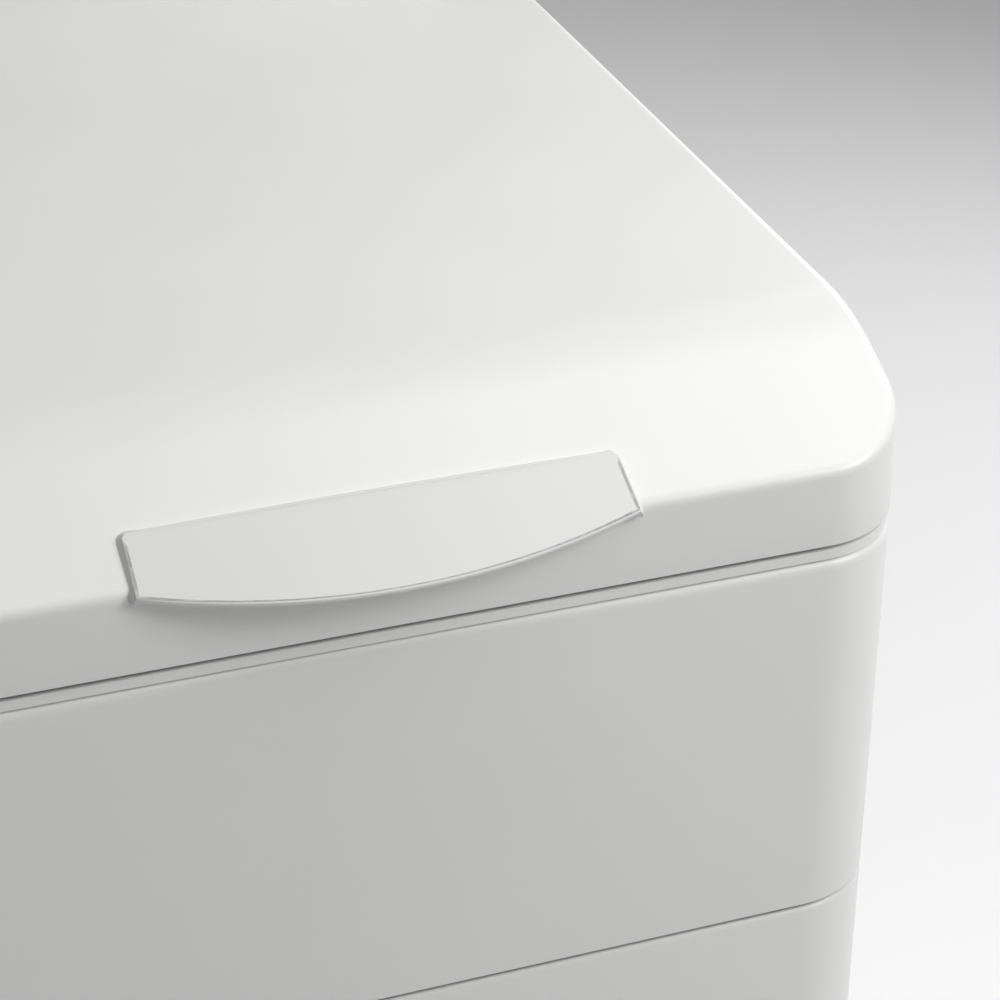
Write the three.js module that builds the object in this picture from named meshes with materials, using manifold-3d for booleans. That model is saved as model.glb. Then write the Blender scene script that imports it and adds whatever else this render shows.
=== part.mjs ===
// Freestanding trash compactor: an enamelled cabinet with a hinged top lid, a tray for spare bags and
// the odour filter under the lid, a screw-driven ram and a bin drawer that a foot pedal releases.
// Millimetres, +Z up, front facing -Y, origin on the floor at the middle of the outer box.
import * as THREE from "three";
import { mergeVertices } from "three/addons/utils/BufferGeometryUtils.js";
import Module from "manifold-3d";

const wasm = await Module();
wasm.setup();

// ---- Driving dimensions ----
const WIDTH = 381; // outside of the cabinet sides
const DEPTH = 610; // cabinet front to cabinet back
const LID_TOP = 864; // floor to the flat of the lid
const CORNER_R = 36.5; // front corners of cabinet and lid, in plan
const REAR_CORNER_R = 6; // rear corners, in plan
const SHEET = 1.5; // cabinet sheet
const GAP = 0.3; // assembly gap between touching pieces

const REAR_DECK = 130; // deck left uncovered behind the lid
const LID_HEIGHT = 57; // lower edge to flat top
const LID_WALL = 2;
const LID_EDGE_R = 4.8; // rounding of the lid's upper edges
const NOSE_HEIGHT = 29; // lower edge to the corner between front face and slope
const SLOPE_DEG = 23.5; // front slope of the lid
const ARC_START = 47.7; // from the lid's front, where the slope turns into the arc
const ARC_END = 83.8; // from the lid's front, where the arc meets the flat top
const LID_GAP = 2; // under the lid's lower edge
const RIM_HEIGHT = 3.7; // visible edge of the top deck
const RIM_SETBACK = 1; // of that edge behind the cabinet face
const FOLD_R = 4; // fold at the top of the cabinet sheet

const LIP_OUT = 14.9; // lip handle in front of the cabinet
const LIP_HALF_TOP = 83.2;
const LIP_HALF_END = 83.6;
const LIP_TOP = [20.7, 39]; // from the lid's front and lower edge
const LIP_END = [-2.3, 28.1];
const LIP_MID_Z = 22.2;
const LIP_THICK = 3;

const APRON = 154; // plain front between the lid and the drawer
const TOE_HEIGHT = 98; // floor to the drawer front
const TOE_SETBACK = 44;
const SKIRT = 15; // floor to the cabinet's lower edge
const DRAWER_GAP = 2; // around the drawer front
const FRONT_DEPTH = 40; // drawer front, with its rounded sides
const GRIP_DROP = 96; // drawer's top edge to the lower line of its grip

const BIN_WALL = 1.5;
const BIN_CORNER_R = 22;
const BIN_SETBACK = 46; // cabinet front to the bin
const BIN_REAR = 184; // bin to the cabinet back, for the motor
const RAIL_ROOM = 32; // bearing plate to the underside of the bin

const RAM_CLEARANCE = 11.5; // ram box to bin wall, each side
const RAM_HEIGHT = 186;
const RAM_WALL = 2;
const RAM_PARK = 10; // ram face above the bin rim, parked
const YOKE_HEIGHT = 28;
const TRAY_ROOM = 3; // yoke to the tray above it, parked
const YOKE_WIDTH = 36;
const SCREW_R = 8;
const SCREW_CLEARANCE = 0.7;
const SCREW_ROOM = 8; // side of a power screw to the bin
const SCREW_DROP = 21; // deck to the top of the power screws
const COLUMN_WALL = 2.5;
const COLUMN_DEPTH = 52;

const FRAME_GAP = 2; // cabinet sheet to the frame inside it
const PAN_WALL = 2;
const BASE_LOW = 30;
const PLATE_TOP = 95; // bearing plate over the drive chain
const PLATE_THICK = 3;
const SPROCKET_R = 14;
const MOTOR_SPROCKET_R = 12;
const SPROCKET_LOW = 46;
const SPROCKET_THICK = 6;
const CHAIN_THICK = 4;
const CHAIN_SLACK = 0.6; // chain to its sprockets
const CHAIN_ROOM = 0.4; // chain to the wall of the base pan
const MOTOR_R = 52;
const MOTOR_HEIGHT = 150;
const MOTOR_BACK = 85; // motor's shaft to the cabinet back

const TRAY_SETBACK = 36; // cabinet front to the tray
const TRAY_REAR = 44; // tray to the back of the lid
const TRAY_DROP = 40;
const TRAY_WALL = 2;
const TRAY_FLANGE = 10;

const HINGE_SIDE = 40.5; // cabinet side to the middle of each lid hinge
const HINGE_BACK = 9; // pivot behind the lid
const HINGE_DROP = 16; // pivot below the lid's top
const PIN_R = 3.5;
const KNUCKLE_R = 7;
const KNUCKLE_LENGTH = 24;

const CONSOLE_RISE = 50; // console's top above the lid
const CONSOLE_BACK = 18; // console's foot behind the lid
const CONSOLE_WALL = 2.5;
const FASCIA_THICK = 2;
const BUTTON_R = 9;
const BUTTON_TRAVEL = 3;
const BUTTON_STEP = 44;
const KEY_R = 11;
const FASCIA_SIDE = 25.5; // cabinet side to the console's fascia
const INLET_SIDE = 75.5; // cabinet side to the middle of the power inlet
const INLET_Z = 155;
const INLET_HALF = 15.5;

// ---- Places worked out from them ----
const FRONT = -(DEPTH - LIP_OUT) / 2;
const BACK = FRONT + DEPTH;
const HALF = WIDTH / 2;
const LID_LOW = LID_TOP - LID_HEIGHT;
const DECK_TOP = LID_LOW - LID_GAP;
const CABINET_TOP = DECK_TOP - RIM_HEIGHT - GAP;
const APRON_LOW = LID_LOW - APRON;
const LID_BACK = BACK - REAR_DECK;
const CONSOLE_TOP = LID_TOP + CONSOLE_RISE;
const FRAME_HALF = HALF - SHEET - FRAME_GAP;
const CHAIN_R = SPROCKET_R + CHAIN_SLACK + CHAIN_THICK;
const SCREW_X = FRAME_HALF - PAN_WALL - CHAIN_ROOM - CHAIN_R;
const SCREW_TOP = DECK_TOP - SCREW_DROP;
const BIN_HALF = SCREW_X - SCREW_R - SCREW_ROOM;
const BIN_Y0 = FRONT + BIN_SETBACK;
const BIN_Y1 = BACK - BIN_REAR;
const BIN_Y = (BIN_Y0 + BIN_Y1) / 2;
const BIN_FLOOR = PLATE_TOP + RAIL_ROOM;
const YOKE_TOP = DECK_TOP + GAP - TRAY_DROP - TRAY_ROOM;
const YOKE_LOW = YOKE_TOP - YOKE_HEIGHT;
const RAM_LOW = YOKE_LOW - GAP - RAM_HEIGHT;
const RIM = RAM_LOW - RAM_PARK;
const MOTOR_Y = BACK - MOTOR_BACK;

// ---- Finishes ----
const finish = (color, roughness, metalness = 0) =>
  new THREE.MeshStandardMaterial({ color, roughness, metalness });
const enamel = finish(0xf1f1ef, 0.32);
const whitePlastic = finish(0xeeeeec, 0.42);
const greyPlastic = finish(0x8f9396, 0.55);
const blackPlastic = finish(0x2a2b2d, 0.5);
const zinc = finish(0xb9bcbe, 0.4, 0.9);
const steel = finish(0x9a9da0, 0.35, 1);
const darkSteel = finish(0x4a4d50, 0.45, 0.8);
const greyPaint = finish(0x6f7478, 0.55);
const rubber = finish(0x2b2b2b, 0.85);
const charcoal = finish(0x1f2021, 0.95);
const amber = finish(0xd98b1e, 0.25);
const redPlastic = finish(0xb3362c, 0.45);
const board = finish(0x2d5a3c, 0.6);

// ---- Solids ----
const object = new THREE.Group();

function solid(geometry) {
  const bare = geometry.index ? geometry.clone() : geometry;
  bare.deleteAttribute("normal");
  bare.deleteAttribute("uv");
  const merged = mergeVertices(bare, 1e-4);
  return new wasm.Manifold(new wasm.Mesh({
    numProp: 3,
    vertProperties: new Float32Array(merged.attributes.position.array),
    triVerts: new Uint32Array(merged.index.array),
  }));
}

function addPart(name, body, material) {
  const { vertProperties, triVerts } = body.getMesh();
  const geometry = new THREE.BufferGeometry();
  geometry.setAttribute("position", new THREE.BufferAttribute(vertProperties, 3));
  geometry.setIndex(new THREE.BufferAttribute(triVerts, 1));
  geometry.computeVertexNormals();
  const mesh = new THREE.Mesh(geometry, material);
  mesh.name = name;
  object.add(mesh);
}

const box = (x0, x1, y0, y1, z0, z1) => solid(new THREE.BoxGeometry(x1 - x0, y1 - y0, z1 - z0)
  .translate((x0 + x1) / 2, (y0 + y1) / 2, (z0 + z1) / 2));

function post(x, y, z0, z1, radius, sides = 16, radiusTop = radius) {
  const geometry = new THREE.CylinderGeometry(radiusTop, radius, z1 - z0, sides);
  return solid(geometry.rotateX(Math.PI / 2).translate(x, y, (z0 + z1) / 2));
}

function barX(x0, x1, y, z, radius, sides = 16) {
  const geometry = new THREE.CylinderGeometry(radius, radius, x1 - x0, sides);
  return solid(geometry.rotateZ(Math.PI / 2).translate((x0 + x1) / 2, y, z));
}

// A plan outline raised from z0 to z1.
const raise = (shape, z0, z1, curveSegments = 6) =>
  solid(new THREE.ExtrudeGeometry(shape, { depth: z1 - z0, bevelEnabled: false, curveSegments })
    .translate(0, 0, z0));

// A side profile, drawn in Y and Z, run from x0 to x1.
function runX(shape, x0, x1, curveSegments = 6) {
  const options = { depth: x1 - x0, bevelEnabled: false, curveSegments };
  const geometry = new THREE.ExtrudeGeometry(shape, options);
  return solid(geometry.rotateX(Math.PI / 2).rotateZ(Math.PI / 2).translate(x0, 0, 0));
}

// A front profile, drawn in X and Z, run from y0 to y1.
function runY(shape, y0, y1, curveSegments = 4) {
  const options = { depth: y1 - y0, bevelEnabled: false, curveSegments };
  return solid(new THREE.ExtrudeGeometry(shape, options).rotateX(Math.PI / 2).translate(0, y1, 0));
}

function polygon(points) {
  return new THREE.Shape(points.map(([u, v]) => new THREE.Vector2(u, v)));
}

// Rectangle with one radius for its front corners and one for its rear corners.
function plan(x0, x1, y0, y1, frontR, rearR) {
  const shape = new THREE.Shape();
  shape.moveTo(x0 + frontR, y0);
  shape.lineTo(x1 - frontR, y0);
  shape.absarc(x1 - frontR, y0 + frontR, frontR, -Math.PI / 2, 0, false);
  shape.lineTo(x1, y1 - rearR);
  shape.absarc(x1 - rearR, y1 - rearR, rearR, 0, Math.PI / 2, false);
  shape.lineTo(x0 + rearR, y1);
  shape.absarc(x0 + rearR, y1 - rearR, rearR, Math.PI / 2, Math.PI, false);
  shape.lineTo(x0, y0 + frontR);
  shape.absarc(x0 + frontR, y0 + frontR, frontR, Math.PI, 1.5 * Math.PI, false);
  return shape;
}

const cabinetPlan = (inset) => plan(-HALF + inset, HALF - inset, FRONT + inset, BACK - inset,
  CORNER_R - inset, Math.max(REAR_CORNER_R - inset, 1));

const lidPlan = (inset) => plan(-HALF + inset, HALF - inset, FRONT + inset, LID_BACK - inset,
  CORNER_R - inset, Math.max(REAR_CORNER_R - inset, 1));

// ---- Cabinet ----
function cabinet() {
  const outer = foldedTop(0, SKIRT);
  const inner = foldedTop(SHEET, SKIRT - 1);
  const flange = raise(cabinetPlan(14), CABINET_TOP - 2 * SHEET, CABINET_TOP + 1, 8);
  const back = box(-HALF - 1, HALF + 1, BACK - REAR_CORNER_R, BACK + 1, 0, CABINET_TOP + 1);
  const mouth = box(-HALF - 1, HALF + 1, FRONT - 1, FRONT + FRONT_DEPTH + DRAWER_GAP, 0, APRON_LOW);
  addPart("cabinet_wrapper", outer.subtract(inner).subtract(flange).subtract(back).subtract(mouth),
    enamel);

  const inside = HALF - SHEET - GAP;
  const rear = box(-HALF, HALF, BACK - SHEET, BACK, SKIRT, CABINET_TOP);
  const lipSide = box(-inside, inside, BACK - REAR_CORNER_R + GAP, BACK - SHEET + 0.1, SKIRT + 1,
    CABINET_TOP - SHEET - 1);
  const lipHollow = box(-inside + SHEET, inside - SHEET, BACK - 20, BACK - SHEET, SKIRT,
    CABINET_TOP);
  const inlet = (half, y0, y1) => box(-HALF + INLET_SIDE - half, -HALF + INLET_SIDE + half, y0, y1,
    INLET_Z - half, INLET_Z + half);
  const inletHole = inlet(INLET_HALF + 0.5, BACK - 20, BACK + 1);
  addPart("rear_panel", rear.add(lipSide.subtract(lipHollow)).subtract(inletHole), zinc);
  const socket = box(-HALF + INLET_SIDE - 11, -HALF + INLET_SIDE + 11, BACK - 16, BACK + 1,
    INLET_Z - 9, INLET_Z + 9);
  addPart("power_inlet", inlet(INLET_HALF, BACK - 24, BACK).subtract(socket), blackPlastic);

  const deckTop = raise(cabinetPlan(RIM_SETBACK), DECK_TOP - SHEET, DECK_TOP, 8);
  const deckLip = raise(cabinetPlan(RIM_SETBACK), DECK_TOP - RIM_HEIGHT, DECK_TOP, 8)
    .subtract(raise(cabinetPlan(RIM_SETBACK + SHEET), DECK_TOP - RIM_HEIGHT - 1, DECK_TOP + 1, 8));
  addPart("top_deck", deckTop.add(deckLip).subtract(trayHole(GAP)), enamel);
}

// The cabinet's outline, pulled in by an inset, with its upper edge folded over a radius.
function foldedTop(inset, low) {
  const radius = FOLD_R - inset;
  const options = {
    depth: CABINET_TOP - FOLD_R, bevelEnabled: true, bevelThickness: radius, bevelSize: radius,
    bevelOffset: -radius, bevelSegments: 3, curveSegments: 8,
  };
  const body = solid(new THREE.ExtrudeGeometry(cabinetPlan(inset), options));
  return body.subtract(box(-WIDTH, WIDTH, -DEPTH, DEPTH, -FOLD_R - 1, low));
}

// ---- Tray for spare bags and the odour filter, under the lid ----
const TRAY_Y0 = FRONT + TRAY_SETBACK;
const TRAY_Y1 = LID_BACK - TRAY_REAR;

function trayHole(clearance) {
  const outline = plan(-BIN_HALF - clearance, BIN_HALF + clearance, TRAY_Y0 - clearance,
    TRAY_Y1 + clearance, 16, 16);
  return raise(outline, DECK_TOP - 60, DECK_TOP + 20, 3);
}

function tray() {
  const level = (inset, z0, z1) => raise(plan(-BIN_HALF + inset, BIN_HALF - inset, TRAY_Y0 + inset,
    TRAY_Y1 - inset, 16 - inset, 16 - inset), z0, z1, 3);
  const flangeZ = DECK_TOP + GAP;
  const body = level(GAP, flangeZ - TRAY_DROP, flangeZ + TRAY_WALL)
    .add(level(-TRAY_FLANGE, flangeZ, flangeZ + TRAY_WALL));
  addPart("bag_tray", body.subtract(level(TRAY_WALL, flangeZ - TRAY_DROP + TRAY_WALL,
    flangeZ + TRAY_WALL + 1)), greyPlastic);
  const filterY = TRAY_Y1 - 96;
  const floorZ = flangeZ - TRAY_DROP + TRAY_WALL + GAP;
  addPart("odour_filter", box(-60, 60, filterY, filterY + 80, floorZ, floorZ + 22), charcoal);
  const cradle = box(-66, 66, filterY - 6, filterY + 86, floorZ, floorZ + 14)
    .subtract(box(-60 - GAP, 60 + GAP, filterY - GAP, filterY + 80 + GAP, floorZ - 1, floorZ + 20));
  addPart("filter_cradle", cradle, whitePlastic);
}

// ---- Lid ----
// Side profile of the lid, pulled in by an inset on its visible faces.
function lidProfile(inset) {
  const slope = THREE.MathUtils.degToRad(SLOPE_DEG);
  const top = LID_TOP - inset;
  const startZ = LID_LOW + NOSE_HEIGHT + ARC_START * Math.tan(slope);
  const shift = inset / Math.cos(slope);
  const noseZ = LID_LOW + NOSE_HEIGHT - shift + inset * Math.tan(slope);
  const arcZ = startZ - shift;
  const shape = new THREE.Shape();
  shape.moveTo(LID_BACK - inset, LID_LOW - (inset ? 1 : 0));
  shape.lineTo(LID_BACK - inset, top);
  shape.lineTo(FRONT + ARC_END, top);
  const corner = FRONT + ARC_START + (top - arcZ) / Math.tan(slope);
  shape.quadraticCurveTo(corner, top, FRONT + ARC_START, arcZ);
  const setback = 3.3;
  shape.lineTo(FRONT + inset + setback * Math.cos(slope), noseZ + setback * Math.sin(slope));
  shape.quadraticCurveTo(FRONT + inset, noseZ, FRONT + inset, noseZ - setback);
  shape.lineTo(FRONT + inset, LID_LOW - (inset ? 1 : 0));
  return shape;
}

function lidFront(inset) {
  const x = HALF - inset;
  const r = Math.max(LID_EDGE_R - inset, 1);
  const top = LID_TOP - inset;
  const low = LID_LOW - (inset ? 1 : 0);
  const shape = new THREE.Shape();
  shape.moveTo(-x, low);
  shape.lineTo(x, low);
  shape.lineTo(x, top - r);
  shape.absarc(x - r, top - r, r, 0, Math.PI / 2, false);
  shape.lineTo(-x + r, top);
  shape.absarc(-x + r, top - r, r, Math.PI / 2, Math.PI, false);
  return shape;
}

function lidBody(inset) {
  return raise(lidPlan(inset), LID_LOW - 1, LID_TOP + 1, 8)
    .intersect(runX(lidProfile(inset), -HALF - 1, HALF + 1, 5))
    .intersect(runY(lidFront(inset), FRONT - 1, LID_BACK + 1, 3));
}

// The lip handle's outline, drawn in its own sloping plane: u across, v down the plane.
function lipOutline(clearance) {
  const [topY, topZ] = LIP_TOP;
  const [endY, endZ] = LIP_END;
  const length = Math.hypot(topY - endY, topZ - endZ);
  const bulge = Math.hypot(endY + LIP_OUT, endZ - LIP_MID_Z);
  const radius = (LIP_HALF_END ** 2 + bulge ** 2) / (2 * bulge);
  const reach = Math.asin(LIP_HALF_END / radius);
  const shape = new THREE.Shape();
  shape.moveTo(-LIP_HALF_END - clearance, -length);
  shape.absarc(0, -length - bulge + radius, radius + clearance, -Math.PI / 2 - reach,
    -Math.PI / 2 + reach, false);
  shape.lineTo(LIP_HALF_END + clearance, -length);
  shape.lineTo(LIP_HALF_TOP + clearance, clearance);
  shape.lineTo(-LIP_HALF_TOP - clearance, clearance);
  return shape;
}

// That outline, thickened below its plane and set on the lid at a height and a front.
function lip(clearance, above, below, front, low) {
  const angle = Math.atan2(LIP_TOP[1] - LIP_END[1], LIP_TOP[0] - LIP_END[0]);
  const options = { depth: above + below, bevelEnabled: false, curveSegments: 14 };
  const geometry = new THREE.ExtrudeGeometry(lipOutline(clearance), options);
  geometry.translate(0, 0, -below).rotateX(angle);
  return solid(geometry.translate(0, front + LIP_TOP[0], low + LIP_TOP[1]));
}

function lid() {
  const shell = lidBody(0).subtract(lidBody(LID_WALL));
  addPart("lid_shell", shell.subtract(lip(0.4, 14, LIP_THICK + 0.4, FRONT, LID_LOW)), enamel);
  addPart("lid_handle", lip(0, 0, LIP_THICK, FRONT, LID_LOW), enamel);
  const linerZ = LID_LOW + 5;
  addPart("lid_liner", raise(lidPlan(LID_WALL + GAP), linerZ, linerZ + LID_WALL, 8), whitePlastic);
  const sealZ = linerZ - GAP;
  const ring = (inset) => raise(lidPlan(inset), DECK_TOP + GAP, sealZ, 8);
  addPart("lid_seal", ring(LID_WALL + 3).subtract(raise(lidPlan(LID_WALL + 9), DECK_TOP, sealZ + 1, 8)),
    rubber);

  const pivotY = LID_BACK + HINGE_BACK;
  const pivotZ = LID_TOP - HINGE_DROP;
  for (const [side, x] of [["left", HINGE_SIDE - HALF], ["right", HALF - HINGE_SIDE]]) {
    const x0 = x - KNUCKLE_LENGTH / 2;
    const x1 = x + KNUCKLE_LENGTH / 2;
    const arm = box(x0, x1, LID_BACK + GAP, pivotY, pivotZ - KNUCKLE_R, pivotZ + KNUCKLE_R)
      .add(barX(x0, x1, pivotY, pivotZ, KNUCKLE_R));
    addPart(`hinge_arm_${side}`, arm.subtract(barX(x0 - 1, x1 + 1, pivotY, pivotZ, PIN_R + 0.5)), zinc);

    const cheek = (at) => box(at, at + 3, pivotY - 6, pivotY + 6, DECK_TOP + GAP, pivotZ)
      .add(barX(at, at + 3, pivotY, pivotZ, 6, 12));
    const foot = box(x0 - 3.5, x1 + 3.5, pivotY - 6, pivotY + 6, DECK_TOP + GAP, DECK_TOP + 3.3);
    const pin = barX(x0 - 1, x1 + 1, pivotY, pivotZ, PIN_R);
    addPart(`hinge_bracket_${side}`, cheek(x0 - 3.5).add(cheek(x1 + 0.5)).add(foot).add(pin), zinc);
  }
}

// ---- Rear console ----
const CONSOLE_Y0 = LID_BACK + CONSOLE_BACK;
const CONSOLE_Z0 = DECK_TOP + GAP;
const FACE_LOW = [CONSOLE_Y0, CONSOLE_Z0 + 10];
const FACE_TOP = [CONSOLE_Y0 + 39, CONSOLE_TOP - 9];
const FACE_ANGLE = Math.atan2(FACE_TOP[1] - FACE_LOW[1], FACE_TOP[0] - FACE_LOW[0]);
const FACE_MID = [(FACE_LOW[0] + FACE_TOP[0]) / 2, (FACE_LOW[1] + FACE_TOP[1]) / 2];

// Sets a piece modelled upright about the origin onto the middle of the console's sloping face.
function onFace(geometry, x, up = 0) {
  return solid(geometry.translate(x, up, 0).rotateX(FACE_ANGLE).translate(0, ...FACE_MID));
}

function disc(radius, z0, z1, sides = 20) {
  return new THREE.CylinderGeometry(radius, radius, z1 - z0, sides).rotateX(Math.PI / 2)
    .translate(0, 0, (z0 + z1) / 2);
}

const slab = (w, h, z0, z1) => new THREE.BoxGeometry(w, h, z1 - z0).translate(0, 0, (z0 + z1) / 2);

function consoleProfile(inset) {
  const shape = new THREE.Shape();
  const low = CONSOLE_Z0 - (inset ? 1 : 0);
  const across = inset / Math.sin(FACE_ANGLE);
  shape.moveTo(FACE_LOW[0] + inset, low);
  shape.lineTo(FACE_LOW[0] + inset, FACE_LOW[1]);
  shape.lineTo(FACE_TOP[0] + across, FACE_TOP[1]);
  shape.quadraticCurveTo(FACE_TOP[0] + 5 + across, CONSOLE_TOP - inset, FACE_TOP[0] + 14,
    CONSOLE_TOP - inset);
  shape.lineTo(BACK - 2 - inset, CONSOLE_TOP - inset);
  shape.lineTo(BACK - 2 - inset, low);
  return shape;
}

const START_X = 60;
const STOP_X = START_X + BUTTON_STEP;
const KEY_X = -90;
const LAMP_X = START_X - BUTTON_STEP;
const STEM = 8; // buttons and key behind the console's face

function rearConsole() {
  const outer = runX(consoleProfile(0), -HALF + 2, HALF - 2, 3);
  const inner = runX(consoleProfile(CONSOLE_WALL), -HALF + 2 + CONSOLE_WALL,
    HALF - 2 - CONSOLE_WALL, 3);
  const holes = [
    [START_X, BUTTON_R + 0.5], [STOP_X, BUTTON_R + 0.5], [KEY_X, 5.5], [LAMP_X, 5.4],
  ].map(([x, r]) => onFace(disc(r, -8, 12), x));
  const cut = (body) => holes.reduce((rest, hole) => rest.subtract(hole), body);
  addPart("console_housing", cut(outer.subtract(inner)), whitePlastic);
  addPart("console_fascia", cut(onFace(slab(WIDTH - 2 * FASCIA_SIDE, 56, GAP, FASCIA_THICK + GAP), 0)), greyPlastic);

  const face = FASCIA_THICK + GAP;
  addPart("start_button", onFace(disc(BUTTON_R, -STEM, face + 5), START_X), whitePlastic);
  addPart("stop_button", onFace(disc(BUTTON_R, -STEM, face + 5), STOP_X), redPlastic);
  addPart("indicator_lens", onFace(disc(5, -4, face + 2, 16), LAMP_X), amber);
  const grip = onFace(disc(KEY_R, face + GAP, face + 3), KEY_X)
    .add(onFace(slab(5, 2 * KEY_R - 2, face + 2, face + 8), KEY_X))
    .add(onFace(disc(5, -STEM, face + 2, 16), KEY_X));
  addPart("key_knob", grip, blackPlastic);
  const boardTop = -STEM - BUTTON_TRAVEL - 1;
  addPart("control_board", onFace(slab(230, 44, boardTop - 2, boardTop), 0), board);
}

// ---- Base, feet, toe kick and pedal ----
const PEDAL_X = 45; // half the width of the pedal pad
const PEDAL_Y = FRONT + 78; // pedal shaft
const PEDAL_Z = 62;

function base() {
  const x = FRAME_HALF;
  const y0 = FRONT + TOE_SETBACK + 12;
  const y1 = BACK - REAR_CORNER_R - 2;
  const pan = box(-x, x, y0, y1, BASE_LOW, PLATE_TOP - PLATE_THICK - GAP)
    .subtract(box(-x + PAN_WALL, x - PAN_WALL, y0 + PAN_WALL, y1 - PAN_WALL, BASE_LOW + PAN_WALL,
      PLATE_TOP));
  const slot = box(-PEDAL_X + 8, PEDAL_X - 8, y0 - 1, y0 + 3, BASE_LOW + 14, PLATE_TOP);
  const ear = (at) => box(at, at + 3, PEDAL_Y - 8, PEDAL_Y + 8, BASE_LOW + 1, PEDAL_Z + 8)
    .subtract(barX(at - 1, at + 4, PEDAL_Y, PEDAL_Z, 5.6));
  addPart("base_frame", pan.subtract(slot).add(ear(-46)).add(ear(43)), zinc);

  const shaftHoles = [
    post(-SCREW_X, BIN_Y, PLATE_TOP - 9, PLATE_TOP + 9, SCREW_R + 3),
    post(SCREW_X, BIN_Y, PLATE_TOP - 9, PLATE_TOP + 9, SCREW_R + 3),
    post(0, MOTOR_Y, PLATE_TOP - 9, PLATE_TOP + 9, 10),
  ];
  const plate = box(-x, x, y0, y1, PLATE_TOP - PLATE_THICK, PLATE_TOP)
    .subtract(box(-32, 32, y0 - 1, PEDAL_Y + 12, PLATE_TOP - 9, PLATE_TOP + 9));
  addPart("bearing_plate", shaftHoles.reduce((rest, hole) => rest.subtract(hole), plate), zinc);

  let number = 1;
  for (const footY of [y0 + 30, y1 - 30]) {
    for (const footX of [-x + 30, x - 30]) {
      const foot = post(footX, footY, 0, 9, 18, 18, 15)
        .add(post(footX, footY, 8, BASE_LOW - GAP, 6, 10));
      addPart(`levelling_foot_${number}`, foot, rubber);
      number += 1;
    }
  }

  const kickY = FRONT + TOE_SETBACK;
  const kick = box(-x, x, kickY, kickY + SHEET, SKIRT, PLATE_TOP)
    .add(box(-x, x, kickY, kickY + 11, SKIRT, SKIRT + SHEET));
  const kickSlot = box(-24, 24, kickY - 1, kickY + 12, PEDAL_Z - 26, PEDAL_Z + 14);
  addPart("toe_kick", kick.subtract(kickSlot), enamel);

  const pad = box(-PEDAL_X, PEDAL_X, FRONT + 10, FRONT + 34, PEDAL_Z + 6, PEDAL_Z + 10);
  const arm = box(-12, 12, FRONT + 30, PEDAL_Y, PEDAL_Z - 2, PEDAL_Z + 2)
    .add(box(-12, 12, FRONT + 30, FRONT + 34, PEDAL_Z - 2, PEDAL_Z + 8));
  addPart("foot_pedal", pad.add(arm)
    .subtract(box(-20, 20, PEDAL_Y - 5.3, PEDAL_Y + 9, PEDAL_Z - 9, PEDAL_Z + 9)), blackPlastic);
  addPart("pedal_shaft", barX(-48, 48, PEDAL_Y, PEDAL_Z, 5), steel);
  const hook = box(14, 24, PEDAL_Y - 20, PEDAL_Y - 5.3, PEDAL_Z - 3, PEDAL_Z + 3)
    .add(box(14, 24, PEDAL_Y - 20, PEDAL_Y - 14, PEDAL_Z - 3, BIN_FLOOR - 4.5));
  addPart("drawer_latch", hook, darkSteel);
}

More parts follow.
